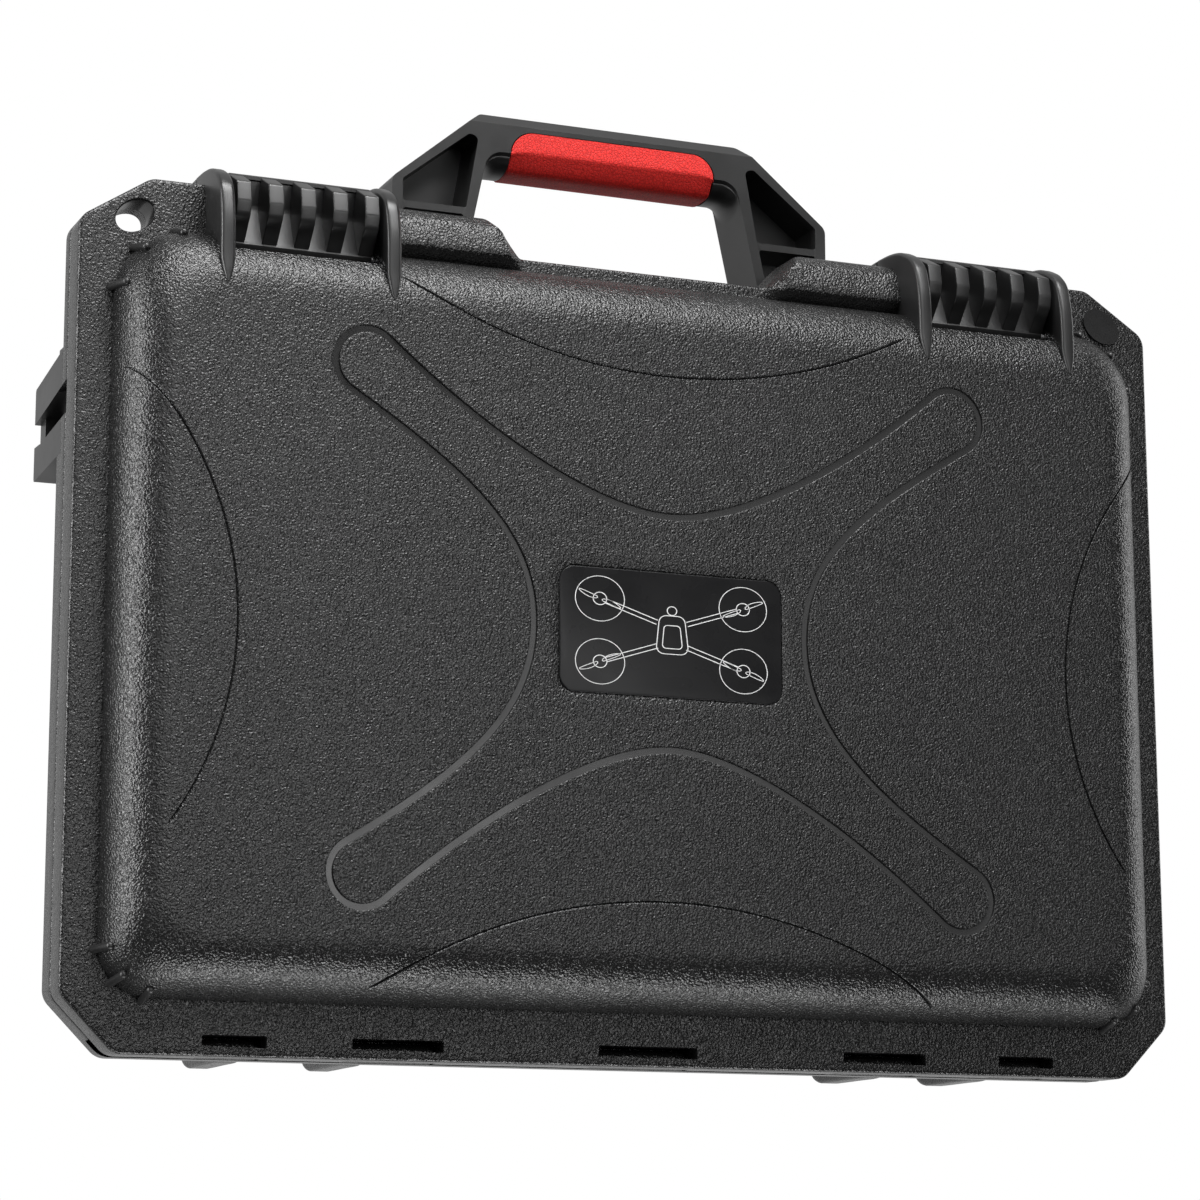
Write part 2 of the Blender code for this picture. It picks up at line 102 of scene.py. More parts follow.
def noise(tree, vector, scale, detail=2.0, rough=0.5, distortion=0.0):
    node = tree.nodes.new("ShaderNodeTexNoise")
    node.inputs["Scale"].default_value = scale
    node.inputs["Detail"].default_value = detail
    node.inputs["Roughness"].default_value = rough
    node.inputs["Distortion"].default_value = distortion
    tree.links.new(vector, node.inputs["Vector"])
    return node.outputs["Fac"]


def voronoi(tree, vector, scale, feature="SMOOTH_F1", smooth=0.35):
    node = tree.nodes.new("ShaderNodeTexVoronoi")
    node.feature = feature
    node.inputs["Scale"].default_value = scale
    if feature == "SMOOTH_F1":
        node.inputs["Smoothness"].default_value = smooth
    tree.links.new(vector, node.inputs["Vector"])
    return node.outputs["Distance"]


def ramp(tree, value, stops):
    node = tree.nodes.new("ShaderNodeValToRGB")
    while len(node.color_ramp.elements) < len(stops):
        node.color_ramp.elements.new(0.5)
    for element, (at, colour) in zip(node.color_ramp.elements, stops):
        element.position = at
        element.color = (*colour, 1.0) if len(colour) == 3 else colour
    tree.links.new(value, node.inputs["Fac"])
    return node.outputs["Color"]


def remap(tree, value, lo, hi, out_lo, out_hi):
    node = tree.nodes.new("ShaderNodeMapRange")
    for key, number in (("From Min", lo), ("From Max", hi), ("To Min", out_lo), ("To Max", out_hi)):
        node.inputs[key].default_value = number
    tree.links.new(value, node.inputs["Value"])
    return node.outputs["Result"]


def maths(tree, kind, a, b):
    node = tree.nodes.new("ShaderNodeMath")
    node.operation = kind
    for socket, value in zip(node.inputs, (a, b)):
        if isinstance(value, (int, float)):
            socket.default_value = value
        else:
            tree.links.new(value, socket)
    return node.outputs[0]


def bump(tree, height, strength, distance, normal=None):
    node = tree.nodes.new("ShaderNodeBump")
    node.inputs["Strength"].default_value = strength
    node.inputs["Distance"].default_value = distance
    tree.links.new(height, node.inputs["Height"])
    if normal is not None:
        tree.links.new(normal, node.inputs["Normal"])
    return node.outputs["Normal"]


def grained_plastic(name, grain, depth, base=0.0095, rough=0.24, spread=0.35):
    """Moulded plastic with a pebbled surface. grain is the pebbles' spacing and depth their relief, in mm."""
    mat, tree, shader = new_material(name)
    at = coords(tree)
    warp = noise(tree, at, 1000.0 / (grain * 0.9), 0.6, 0.5, 0.5)
    pebble = voronoi(tree, at, 1000.0 / (grain * 1.05), smooth=0.7)
    fine = noise(tree, at, 2700.0 / grain, 2.0, 0.6)
    height = maths(tree, "ADD", maths(tree, "MULTIPLY", pebble, -0.4), warp)
    height = maths(tree, "ADD", height, maths(tree, "MULTIPLY", fine, 0.06))
    tree.links.new(bump(tree, height, 1.0, depth * 0.001), shader.inputs["Normal"])
    cloud = noise(tree, at, 14.0, 4.0, 0.6)
    # The base colour follows the bump's warp: darker in the pebbles' low spots as painted shade, with a large cloud for
    # random tone.
    hollow_shade_and_tone = maths(tree, "ADD", maths(tree, "MULTIPLY", warp, 0.8), maths(tree, "MULTIPLY", cloud, 0.2))
    low, high = base * (1 - spread), base * (1 + spread)
    colour = ramp(tree, hollow_shade_and_tone, ((0.33, (low, low, low * 1.01)), (0.67, (high, high, high * 1.01))))
    tree.links.new(colour, shader.inputs["Base Color"])
    tree.links.new(remap(tree, warp, 0.3, 0.7, rough + 0.07, rough - 0.05), shader.inputs["Roughness"])
    return mat


def satin_plastic(name, base=0.022, rough=0.36, bump_mm=0.006):
    mat, tree, shader = new_material(name)
    at = coords(tree)
    fine = noise(tree, at, 2600.0, 2.0, 0.6)
    cloud = noise(tree, at, 30.0, 4.0, 0.65)
    tree.links.new(bump(tree, fine, 0.6, bump_mm * 0.001), shader.inputs["Normal"])
    low, high = base * 0.85, base * 1.18
    tree.links.new(ramp(tree, cloud, ((0.35, (low, low, low)), (0.68, (high, high, high * 1.02)))), shader.inputs["Base Color"])
    tree.links.new(remap(tree, cloud, 0.3, 0.7, rough - 0.05, rough + 0.06), shader.inputs["Roughness"])
    return mat


def leather_grip(name):
    """Soft overmould with a leather grain: flat islands parted by fine creases."""
    mat, tree, shader = new_material(name)
    at = coords(tree)
    wobble = noise(tree, at, 420.0, 3.0, 0.6)
    shift = tree.nodes.new("ShaderNodeVectorMath")
    shift.operation = "MULTIPLY_ADD"
    spread = tree.nodes.new("ShaderNodeCombineXYZ")
    for key in ("X", "Y", "Z"):
        tree.links.new(wobble, spread.inputs[key])
    tree.links.new(spread.outputs[0], shift.inputs[0])
    shift.inputs[1].default_value = (0.0011, 0.0009, 0.001)
    tree.links.new(at, shift.inputs[2])
    cells = voronoi(tree, shift.outputs[0], 880.0, "DISTANCE_TO_EDGE")
    island = remap(tree, cells, 0.0, 0.16, 0.0, 1.0)
    pores = noise(tree, at, 2400.0, 2.0, 0.6)
    height = maths(tree, "ADD", maths(tree, "MULTIPLY", island, 0.7), maths(tree, "MULTIPLY", pores, 0.35))
    tree.links.new(bump(tree, height, 1.0, 0.00011), shader.inputs["Normal"])
    # The base colour is darker red in the creases than on the islands: painted shade in the creases.
    crease_shaded_red = ramp(tree, island, ((0.0, (0.5, 0.014, 0.012)), (1.0, (0.78, 0.03, 0.024))))
    tree.links.new(crease_shaded_red, shader.inputs["Base Color"])
    tree.links.new(remap(tree, pores, 0.3, 0.7, 0.5, 0.66), shader.inputs["Roughness"])
    shader.inputs["Specular IOR Level"].default_value = 0.28
    return mat


def foam_material(name, base):
    mat, tree, shader = new_material(name)
    at = coords(tree)
    cells = voronoi(tree, at, 1300.0, "F1")
    rough = noise(tree, at, 900.0, 4.0, 0.7)
    cloud = noise(tree, at, 25.0, 3.0, 0.6)
    height = maths(tree, "ADD", cells, maths(tree, "MULTIPLY", rough, 0.8))
    tree.links.new(bump(tree, height, 1.0, 0.0004), shader.inputs["Normal"])
    # The base colour is darker in the cells' hollows, as painted shade, with a large cloud for random tone.
    hollow_shade_and_tone = maths(tree, "ADD", maths(tree, "MULTIPLY", cells, 0.6), maths(tree, "MULTIPLY", cloud, 0.4))
    tree.links.new(ramp(tree, hollow_shade_and_tone, ((0.2, [c * 0.55 for c in base]), (0.75, [c * 1.3 for c in base]))), shader.inputs["Base Color"])
    shader.inputs["Roughness"].default_value = 0.95
    shader.inputs["Sheen Weight"].default_value = 0.25
    shader.inputs["Sheen Roughness"].default_value = 0.6
    return mat


def steel_material(name):
    mat, tree, shader = new_material(name)
    at = coords(tree, (40.0, 4000.0, 4000.0))
    drawn = noise(tree, at, 1.0, 3.0, 0.6)
    shader.inputs["Metallic"].default_value = 1.0
    tree.links.new(ramp(tree, drawn, ((0.3, (0.42, 0.42, 0.43)), (0.7, (0.6, 0.6, 0.61)))), shader.inputs["Base Color"])
    tree.links.new(remap(tree, drawn, 0.3, 0.7, 0.24, 0.42), shader.inputs["Roughness"])
    tree.links.new(bump(tree, drawn, 0.4, 0.00002), shader.inputs["Normal"])
    return mat


def film_material(name):
    mat, tree, shader = new_material(name)
    at = coords(tree)
    cloud = noise(tree, at, 60.0, 3.0, 0.6)
    fine = noise(tree, at, 3000.0, 2.0, 0.5)
    tree.links.new(ramp(tree, cloud, ((0.3, (0.0075, 0.0075, 0.008)), (0.7, (0.011, 0.011, 0.0115)))), shader.inputs["Base Color"])
    tree.links.new(remap(tree, cloud, 0.3, 0.7, 0.24, 0.32), shader.inputs["Roughness"])
    tree.links.new(bump(tree, fine, 0.5, 0.000004), shader.inputs["Normal"])
    shader.inputs["Specular IOR Level"].default_value = 0.16
    return mat


def ink_material(name):
    mat, tree, shader = new_material(name)
    at = coords(tree)
    cloud = noise(tree, at, 500.0, 3.0, 0.6)
    tree.links.new(ramp(tree, cloud, ((0.3, (0.62, 0.62, 0.62)), (0.7, (0.8, 0.8, 0.8)))), shader.inputs["Base Color"])
    tree.links.new(remap(tree, cloud, 0.3, 0.7, 0.5, 0.65), shader.inputs["Roughness"])
    return mat


def seal_material(name):
    mat, tree, shader = new_material(name)
    at = coords(tree)
    fine = noise(tree, at, 1800.0, 3.0, 0.6)
    cloud = noise(tree, at, 60.0, 3.0, 0.6)
    tree.links.new(bump(tree, fine, 0.8, 0.00003), shader.inputs["Normal"])
    tree.links.new(ramp(tree, cloud, ((0.3, (0.085, 0.085, 0.088)), (0.7, (0.12, 0.12, 0.122)))), shader.inputs["Base Color"])
    tree.links.new(remap(tree, fine, 0.3, 0.7, 0.55, 0.72), shader.inputs["Roughness"])
    return mat


SHELL = grained_plastic("shell_pebble", 0.76, 0.33)
EDGE = grained_plastic("shell_edge", 0.7, 0.25)
SMOOTH = satin_plastic("groove_satin", base=0.012, rough=0.26)
SATIN = satin_plastic("satin_black", base=0.012, rough=0.36)
GRIP = leather_grip("grip_leather")
FOAM_BASE = foam_material("foam_block", (0.028, 0.028, 0.03))
FOAM_LID = foam_material("foam_sheet", (0.035, 0.035, 0.037))
FILM = film_material("label_film")
INK = ink_material("label_ink")
SEAL = seal_material("seal_cord")
STEEL = steel_material("drawn_steel")


# ------------------------------------------------------------------ outlines
def rounded(corners, radius, steps=8):
    radii = radius if isinstance(radius, (list, tuple)) else [radius] * len(corners)
    out = []
    for i, (px, pz) in enumerate(corners):
        ax, az = corners[i - 1]
        bx, bz = corners[(i + 1) % len(corners)]
        ua, ub = math.atan2(az - pz, ax - px), math.atan2(bz - pz, bx - px)
        half = abs((ub - ua + math.pi) % (2 * math.pi) - math.pi) / 2
        r = radii[i]
        if r <= 0:
            out.append((px, pz))
            continue
        cut = r / math.tan(half)
        bis = math.atan2(math.sin(ua) + math.sin(ub), math.cos(ua) + math.cos(ub))
        cx, cz = px + math.cos(bis) * r / math.sin(half), pz + math.sin(bis) * r / math.sin(half)
        sx, sz = px + math.cos(ua) * cut, pz + math.sin(ua) * cut
        ex, ez = px + math.cos(ub) * cut, pz + math.sin(ub) * cut
        a0, a1 = math.atan2(sz - cz, sx - cx), math.atan2(ez - cz, ex - cx)
        sweep = (a1 - a0 + math.pi) % (2 * math.pi) - math.pi
        for k in range(steps + 1):
            a = a0 + sweep * k / steps
            out.append((cx + r * math.cos(a), cz + r * math.sin(a)))
    return np.array(out)


def split(loop, longest, closed=True):
    """The line with points added, so that no segment is longer than this."""
    loop = np.asarray(loop, float)
    out = []
    last = len(loop) if closed else len(loop) - 1
    for i in range(last):
        a, b = loop[i], loop[(i + 1) % len(loop)]
        n = max(1, int(math.ceil(np.linalg.norm(b - a) / longest)))
        out += [a + (b - a) * k / n for k in range(n)]
    if not closed:
        out.append(loop[-1])
    return np.array(out)


def normals(loop, closed=True):
    """Unit normals on the right-hand side of the way along the line, which is outward on a loop that turns left."""
    ahead = np.roll(loop, -1, 0) - loop
    behind = loop - np.roll(loop, 1, 0)
    if not closed:
        ahead[-1], behind[0] = behind[-1], ahead[0]
    ahead = ahead / np.linalg.norm(ahead, axis=1)[:, None]
    behind = behind / np.linalg.norm(behind, axis=1)[:, None]
    mid = ahead + behind
    length = np.linalg.norm(mid, axis=1)[:, None]
    mid = mid / np.maximum(length, 1e-9)
    mitre = 1 / np.maximum((mid * ahead).sum(1), 0.5)
    return np.c_[mid[:, 1], -mid[:, 0]] * mitre[:, None]


def offset(loop, by, closed=True):
    return loop + normals(loop, closed) * by


def turned_left(loop):
    x, z = loop[:, 0], loop[:, 1]
    area = (x * np.roll(z, -1) - np.roll(x, -1) * z).sum()
    return loop if area > 0 else loop[::-1]


def box_loop(hx, top, bottom, r_top, r_bottom=None, steps=10):
    r_bottom = r_top if r_bottom is None else r_bottom
    return rounded([(-hx, bottom), (hx, bottom), (hx, top), (-hx, top)], [r_bottom, r_bottom, r_top, r_top], steps)


def flange_loop(steps=8):
    w, h = W / 2, H / 2
    corners = [
        (-w + BOTTOM_CUT[0], -h), (w - BOTTOM_CUT[0], -h), (w, -h + BOTTOM_CUT[1]),
        (w, h - TOP_CUT[1]), (w - TOP_CUT[0], h), (58.0, h), (46.5, NOTCH_Z), (-46.5, NOTCH_Z), (-58.0, h),
        (-w + TOP_CUT[0], h), (-w, h - TOP_CUT[1]), (-w, -h + BOTTOM_CUT[1]),
    ]
    return rounded(corners, [7.0] * 5 + [5.0, 4.0, 4.0, 5.0] + [7.0] * 3, steps)


# ------------------------------------------------------------------ mesh helpers
class Soup:
    """Faces gathered from several surfaces, whose shared edges are welded at the end."""

    def __init__(self):
        self.points, self.faces, self.slots = [], [], []

    def add(self, points, faces, slot=0):
        start = len(self.points)
        self.points += [tuple(map(float, p)) for p in points]
        self.faces += [[start + i for i in face] for face in faces]
        self.slots += [slot] * len(faces) if isinstance(slot, int) else list(slot)

    def strip(self, first, second, slot=0, closed=True):
        n = len(first)
        faces = []
        for i in range(n if closed else n - 1):
            j = (i + 1) % n
            faces.append((i, j, n + j, n + i))
        self.add(list(first) + list(second), faces, slot)

    def rings(self, rings, slot=0):
        for a, b in zip(rings, rings[1:]):
            self.strip(a, b, slot)

    def cap(self, ring, slot=0):
        self.add(ring, [list(range(len(ring)))], slot)

    def flat(self, outer, holes, y, slot=0, grid=0.0):
        """A plane area in x and z at this y, with holes."""
        points, faces = triangles(outer, holes, (), grid)
        self.add([(p[0], y, p[1]) for p in points], faces, slot)

    def mesh(self, name, weld=2e-4):
        mesh = bpy.data.meshes.new(name)
        mesh.from_pydata([tuple(spot(*p)) for p in self.points], [], self.faces)
        mesh.polygons.foreach_set("material_index", self.slots)
        work = bmesh.new()
        work.from_mesh(mesh)
        bmesh.ops.remove_doubles(work, verts=work.verts, dist=weld * 0.001)
        bmesh.ops.recalc_face_normals(work, faces=work.faces)
        work.to_mesh(mesh)
        work.free()
        return mesh


def inside(points, loop):
    """Which points lie inside the loop."""
    x, z = points[:, 0][:, None], points[:, 1][:, None]
    a, b = loop, np.roll(loop, -1, 0)
    crosses = (a[None, :, 1] > z) != (b[None, :, 1] > z)
    with np.errstate(divide="ignore", invalid="ignore"):
        at = a[None, :, 0] + (z - a[None, :, 1]) / (b[None, :, 1] - a[None, :, 1]) * (b[None, :, 0] - a[None, :, 0])
    return ((crosses & (x < at)).sum(1) % 2) == 1


def triangles(outer, holes, lines=(), grid=0.0, keep_off=None):
    """Triangles over the area inside outer and outside the holes, with lines kept as edges. lines are (points, closed)."""
    points, edges = [], []

    def run(line, closed):
        start, n = len(points), len(line)
        points.extend(map(tuple, line))
        edges.extend((start + i, start + (i + 1) % n) for i in range(n if closed else n - 1))

    run(outer, True)
    for hole in holes:
        run(hole, True)
    for line, closed in lines:
        run(line, closed)
    if grid:
        lo, hi = outer.min(0), outer.max(0)
        xs, zs = np.arange(lo[0] + grid / 2, hi[0], grid), np.arange(lo[1] + grid / 2, hi[1], grid * 0.866)
        spots = np.array([(x + (grid / 2 if k % 2 else 0), z) for k, z in enumerate(zs) for x in xs])
        tree = kdtree.KDTree(len(points))
        for i, p in enumerate(points):
            tree.insert((p[0], p[1], 0), i)
        tree.balance()
        keep = keep_off or grid * 0.5
        points.extend(tuple(p) for p in spots if tree.find((p[0], p[1], 0))[2] > keep)
    out = geometry.delaunay_2d_cdt([Vector(p) for p in points], edges, [], 0, 1e-5)
    where = np.array([tuple(v) for v in out[0]])
    faces = np.array([tuple(f) for f in out[2]])
    middle = where[faces].mean(1)
    good = np.zeros(len(faces), bool)
    for k in range(0, len(faces), 4000):
        good[k:k + 4000] = inside(middle[k:k + 4000], np.asarray(outer))
        for hole in holes:
            good[k:k + 4000] &= ~inside(middle[k:k + 4000], np.asarray(hole))
    return where, [tuple(int(i) for i in f) for f in faces[good]]


def piece(name, mesh, mats, body, sharp=32.0, replaces=()):
    obj = bpy.data.objects.new(name, mesh)
    SCENE.collection.objects.link(obj)
    for mat in mats:
        mesh.materials.append(mat)
    mesh.shade_smooth()
    mesh.set_sharp_from_angle(angle=math.radians(sharp))
    if body:
        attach(obj, body)
    if replaces:
        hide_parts(*replaces)
    return obj


def solid(name, rings):
    """A temporary closed solid through rings of equally many (x, y, z) points in mm."""
    soup = Soup()
    soup.rings(rings)
    soup.cap(rings[0])
    soup.cap(rings[-1])
    mesh = soup.mesh(name)
    obj = bpy.data.objects.new(name, mesh)
    SCENE.collection.objects.link(obj)
    return obj


def along_y(name, loop, y0, y1):
    return solid(name, [[(x, y, z) for x, z in loop] for y in (y0, y1)])


def along_x(name, profile, x0, x1):
    return solid(name, [[(x, y, z) for y, z in profile] for x in (x0, x1)])


def rod(name, y, z, radius, x0, x1, sides=32):
    turn = [2 * math.pi * (k + 0.5) / sides for k in range(sides)]
    return along_x(name, [(y + radius * math.cos(a), z + radius * math.sin(a)) for a in turn], x0, x1)


def joined(tools, name="tools"):
    mesh = bpy.data.meshes.new(name)
    work = bmesh.new()
    for tool in tools:
        work.from_mesh(tool.data)
    work.to_mesh(mesh)
    work.free()
    for tool in tools:
        bpy.data.objects.remove(tool)
    obj = bpy.data.objects.new(name, mesh)
    SCENE.collection.objects.link(obj)
    return obj


def evaluated(obj):
    """The object's mesh with its modifiers applied."""
    bpy.context.view_layer.update()
    graph = bpy.context.evaluated_depsgraph_get()
    mesh = bpy.data.meshes.new_from_object(obj.evaluated_get(graph))
    obj.modifiers.clear()
    obj.data = mesh
    return mesh


def boolean(obj, tools, operation="DIFFERENCE", slot=None, together=True):
    """Cuts or joins the tools and removes them. slot is the material slot of the cut walls."""
    tools = [joined(tools)] if together else list(tools)
    for tool in tools:
        if slot is not None:
            tool.data.materials.clear()
            for mat in obj.data.materials:
                tool.data.materials.append(mat)
            tool.data.polygons.foreach_set("material_index", [slot] * len(tool.data.polygons))
        mod = obj.modifiers.new("cut", "BOOLEAN")
        mod.operation, mod.solver, mod.object = operation, "EXACT", tool
        mod.use_self = False
    evaluated(obj)
    for tool in tools:
        bpy.data.objects.remove(tool)


def tidy(obj, angle=0.6):
    """Merges the flat triangles that a cut leaves into whole faces."""
    work = bmesh.new()
    work.from_mesh(obj.data)
    bmesh.ops.remove_doubles(work, verts=work.verts, dist=2e-6)
    bmesh.ops.dissolve_limit(work, angle_limit=math.radians(angle), verts=work.verts, edges=work.edges, delimit={"MATERIAL"})
    work.to_mesh(obj.data)
    work.free()


def soften(obj, width, segments=3, angle=30.0):
    """Rounds the sharp edges and sets normals that keep the flats flat."""
    mod = obj.modifiers.new("round", "BEVEL")
    mod.width, mod.segments, mod.limit_method = width * 0.001, segments, "ANGLE"
    mod.angle_limit = math.radians(angle)
    mod.use_clamp_overlap = True
    mod.miter_outer = "MITER_ARC"
    evaluated(obj)
    work = bmesh.new()
    work.from_mesh(obj.data)
    bmesh.ops.triangulate(work, faces=[f for f in work.faces if len(f.verts) > 4])
    work.to_mesh(obj.data)
    work.free()
    obj.data.shade_smooth()
    obj.data.set_sharp_from_angle(angle=math.radians(40))
    mod = obj.modifiers.new("normals", "WEIGHTED_NORMAL")
    mod.keep_sharp = True


def slab(profile, x0, x1, r, steps=4):
    """Rings across x of a profile in y and z, with its edges rounded by r."""
    loop = turned_left(np.asarray(profile, float))
    rings = []
    for k in range(steps + 1):
        a = math.pi / 2 * k / steps
        inset, rise = r * (1 - math.sin(a)), r * (1 - math.cos(a))
        ring = offset(loop, -inset)
        rings.append([(x0 + rise, y, z) for y, z in ring])
    for k in range(steps, -1, -1):
        a = math.pi / 2 * k / steps
        inset, rise = r * (1 - math.sin(a)), r * (1 - math.cos(a))
        ring = offset(loop, -inset)
        rings.append([(x1 - rise, y, z) for y, z in ring])
    return rings


def slab_soup(soup, profile, x0, x1, r, slot=0, steps=4):
    rings = slab(profile, x0, x1, r, steps)
    soup.rings(rings, slot)
    soup.cap(rings[0], slot)
    soup.cap(rings[-1], slot)


def smooth_line(points, spacing, closed=False):
    """A Catmull-Rom line through the points, with about this spacing."""
    p = np.asarray(points, float)
    n = len(p)
    out = []
    for i in range(n if closed else n - 1):
        if closed:
            a, b, c, d = p[i - 1], p[i], p[(i + 1) % n], p[(i + 2) % n]
        else:
            a, b, c, d = p[max(i - 1, 0)], p[i], p[i + 1], p[min(i + 2, n - 1)]
        count = max(1, int(math.ceil(np.linalg.norm(c - b) / spacing)))
        for k in range(count):
            t = k / count
            out.append(0.5 * (2 * b + (c - a) * t + (2 * a - 5 * b + 4 * c - d) * t * t + (3 * b - a - 3 * c + d) * t ** 3))
    if not closed:
        out.append(p[-1])
    return np.array(out)


# ------------------------------------------------------------------ lid: raised face, grooves and pads
FOOT = (188.2, 125.0, -125.7, 24.0, 17.5)     # half width, top, bottom, corner radii
SHOULDER = (17.7, 22.5, 19.2)                 # sides, top, bottom


def dome_section(turn):
    """Half width, top, bottom and corner radii of the raised face's section where its quarter ellipse has turned this far."""
    s = 1 - np.cos(turn)
    return (FOOT[0] - SHOULDER[0] * s, FOOT[1] - SHOULDER[1] * s, FOOT[2] + SHOULDER[2] * s, FOOT[3] - 6.0 * s, FOOT[4] - 1.5 * s)


def dome_loop(turn, out=0.0, steps=12):
    hx, top, bottom, rt, rb = dome_section(turn)
    return box_loop(hx + out, top + out, bottom - out, rt + out, rb + out, steps)


def dome_height(p):
    x, z = p[:, 0], p[:, 1]

    def outside(turn):
        hx, top, bottom, rt, rb = dome_section(turn)
        middle, half = (top + bottom) / 2, (top - bottom) / 2
        r = np.where(z > middle, rt, rb)
        qx, qz = np.abs(x) - hx + r, np.abs(z - middle) - half + r
        return np.minimum(np.maximum(qx, qz), 0) + np.hypot(np.maximum(qx, 0), np.maximum(qz, 0)) - r

    lo, hi = np.zeros(len(p)), np.full(len(p), math.pi / 2)
    off = outside(lo) > -1e-4
    top = outside(hi) < 1e-4
    for _ in range(40):
        mid = (lo + hi) / 2
        out = outside(mid) > 0
        lo, hi = np.where(out, lo, mid), np.where(out, mid, hi)
    h = DOME_H * np.sin((lo + hi) / 2)
    return np.where(off, 0.0, np.where(top, DOME_H, h))


def bezier(a, b, c, d, n):
    t = np.linspace(0, 1, n + 1)[:, None]
    a, b, c, d = map(np.array, (a, b, c, d))
    return (1 - t) ** 3 * a + 3 * (1 - t) ** 2 * t * b + 3 * (1 - t) * t * t * c + t ** 3 * d


def star_quarter(waist, side, centre, r, lean, flare, sx, sz):
    """From the waist on the middle line, up one side of an arm, round its end, and back to the side waist."""
    d = np.array([math.cos(lean), math.sin(lean)])
    n = np.array([-d[1], d[0]])
    c = np.array(centre)
    arc = [c + r * (n * math.cos(a) + d * math.sin(a)) for a in np.linspace(-flare, math.pi + flare, 30)]
    tu = np.array([d[0] * math.cos(flare) - d[1] * math.sin(flare), d[1] * math.cos(flare) + d[0] * math.sin(flare)])
    tl = np.array([d[0] * math.cos(flare) + d[1] * math.sin(flare), d[1] * math.cos(flare) - d[0] * math.sin(flare)])
    up = bezier(waist, (waist[0] + 26.0, waist[1]), arc[0] - tu * 46.0, arc[0], 60)
    low = bezier(arc[-1], arc[-1] - tl * 46.0, (side[0], side[1] + 31.0), side, 60)
    return np.vstack([up[:-1], np.array(arc), low[1:]]) * np.array([sx, sz])


def star_loop():
    lean, flare = math.radians(36.2), math.radians(4.5)
    tr = star_quarter((0.0, 39.2), (49.3, 0.0), (107.6, 82.4), 11.2, lean, flare, 1, 1)
    br = star_quarter((0.0, 40.2), (49.3, 0.0), (107.8, 85.4), 11.2, lean, flare, 1, -1)
    bl = br * np.array([-1, 1])
    tl = tr * np.array([-1, 1])
    loop = np.vstack([tr[:-1], br[::-1][:-1], bl[:-1], tl[::-1][:-1]])
    return turned_left(even(loop, 1.6))


def even(loop, spacing, closed=True):
    """The same line with evenly spaced points."""
    pts = np.vstack([loop, loop[:1]]) if closed else np.asarray(loop)
    step = np.r_[0, np.cumsum(np.linalg.norm(np.diff(pts, axis=0), axis=1))]
    n = max(2, int(round(step[-1] / spacing)))
    at = np.linspace(0, step[-1], n + 1)
    out = np.c_[np.interp(at, step, pts[:, 0]), np.interp(at, step, pts[:, 1])]
    return out[:-1] if closed else out


def circle_arc(p0, p1, p2, spacing):
    (ax, ay), (bx, by), (cx, cy) = p0, p1, p2
    d = 2 * (ax * (by - cy) + bx * (cy - ay) + cx * (ay - by))
    ux = ((ax * ax + ay * ay) * (by - cy) + (bx * bx + by * by) * (cy - ay) + (cx * cx + cy * cy) * (ay - by)) / d
    uy = ((ax * ax + ay * ay) * (cx - bx) + (bx * bx + by * by) * (ax - cx) + (cx * cx + cy * cy) * (bx - ax)) / d
    r = math.hypot(ax - ux, ay - uy)
    a0, a1 = math.atan2(ay - uy, ax - ux), math.atan2(cy - uy, cx - ux)
    sweep = (a1 - a0 + math.pi) % (2 * math.pi) - math.pi
    n = max(8, int(abs(sweep) * r / spacing))
    t = a0 + np.linspace(0, 1, n + 1) * sweep
    return np.c_[ux + r * np.cos(t), uy + r * np.sin(t)]


def distance(points, line, closed):
    """Signed distance to a line, positive on the right-hand side of the way along it, and the share of its length there."""
    a = line if closed else line[:-1]
    b = np.roll(line, -1, 0) if closed else line[1:]
    best, sign, share = np.full(len(points), 1e9), np.zeros(len(points)), np.zeros(len(points))
    step = np.linalg.norm(b - a, axis=1)
    total = step.sum()
    start = np.r_[0, np.cumsum(step)[:-1]]
    for k in range(0, len(points), 2000):
        p = points[k:k + 2000][:, None, :]
        ab = (b - a)[None]
        t = np.clip(((p - a[None]) * ab).sum(2) / (ab ** 2).sum(2), 0, 1)
        near = a[None] + ab * t[..., None]
        dist = np.linalg.norm(p - near, axis=2)
        i = dist.argmin(1)
        rows = np.arange(len(i))
        best[k:k + 2000] = dist[rows, i]
        ap = (p - a[None])[rows, i]
        e = ab[0][i]
        sign[k:k + 2000] = np.where(e[:, 1] * ap[:, 0] - e[:, 0] * ap[:, 1] > 0, 1, -1)
        share[k:k + 2000] = (start[i] + t[rows, i] * step[i]) / total
    return best * sign, share


STAR = star_loop()
ARCS = (  # each runs so that its gentle side is on its left
    (circle_arc((-186.9, 76.2), (-151.1, 1.0), (-173.0, -74.0), 2.0), 0.02),
    (circle_arc((173.0, -74.0), (151.1, 1.0), (186.9, 76.2), 2.0), 0.02),
    (circle_arc((-96.0, 113.5), (-3.0, 87.6), (91.0, 111.0), 2.0), 0.02),
    (circle_arc((101.0, -122.5), (-2.0, -90.5), (-104.5, -122.5), 2.0), 0.02),
)
STAR_DEPTH = ((-1.34, 0.0), (-1.18, 0.08), (-1.1, 0.9), (1.1, 0.9), (1.18, 0.08), (1.34, 0.0))
STAR_STEPS = [-1.6] + [step for step, _ in STAR_DEPTH[:3]] + [0.0] + [step for step, _ in STAR_DEPTH[3:]] + [1.6]
ARC_DEPTH = ((-0.86, 0.0), (-0.72, 0.07), (-0.07, 0.85), (0.02, 0.06), (0.12, 0.0))
ARC_STEPS = [-1.1] + [step for step, _ in ARC_DEPTH] + [0.36]


def profile_depth(signed, profile):
    xs, ds = zip(*profile)
    return np.interp(signed, xs, ds, left=0.0, right=0.0)


PAD = ((123.6, 0.0), (124.4, 0.2), (125.2, 0.9), (128.1, 4.7), (128.9, 5.35), (129.8, 5.6), (131.5, 5.45), (138.9, 4.15), (139.5, 3.75), (143.35, 0.0))


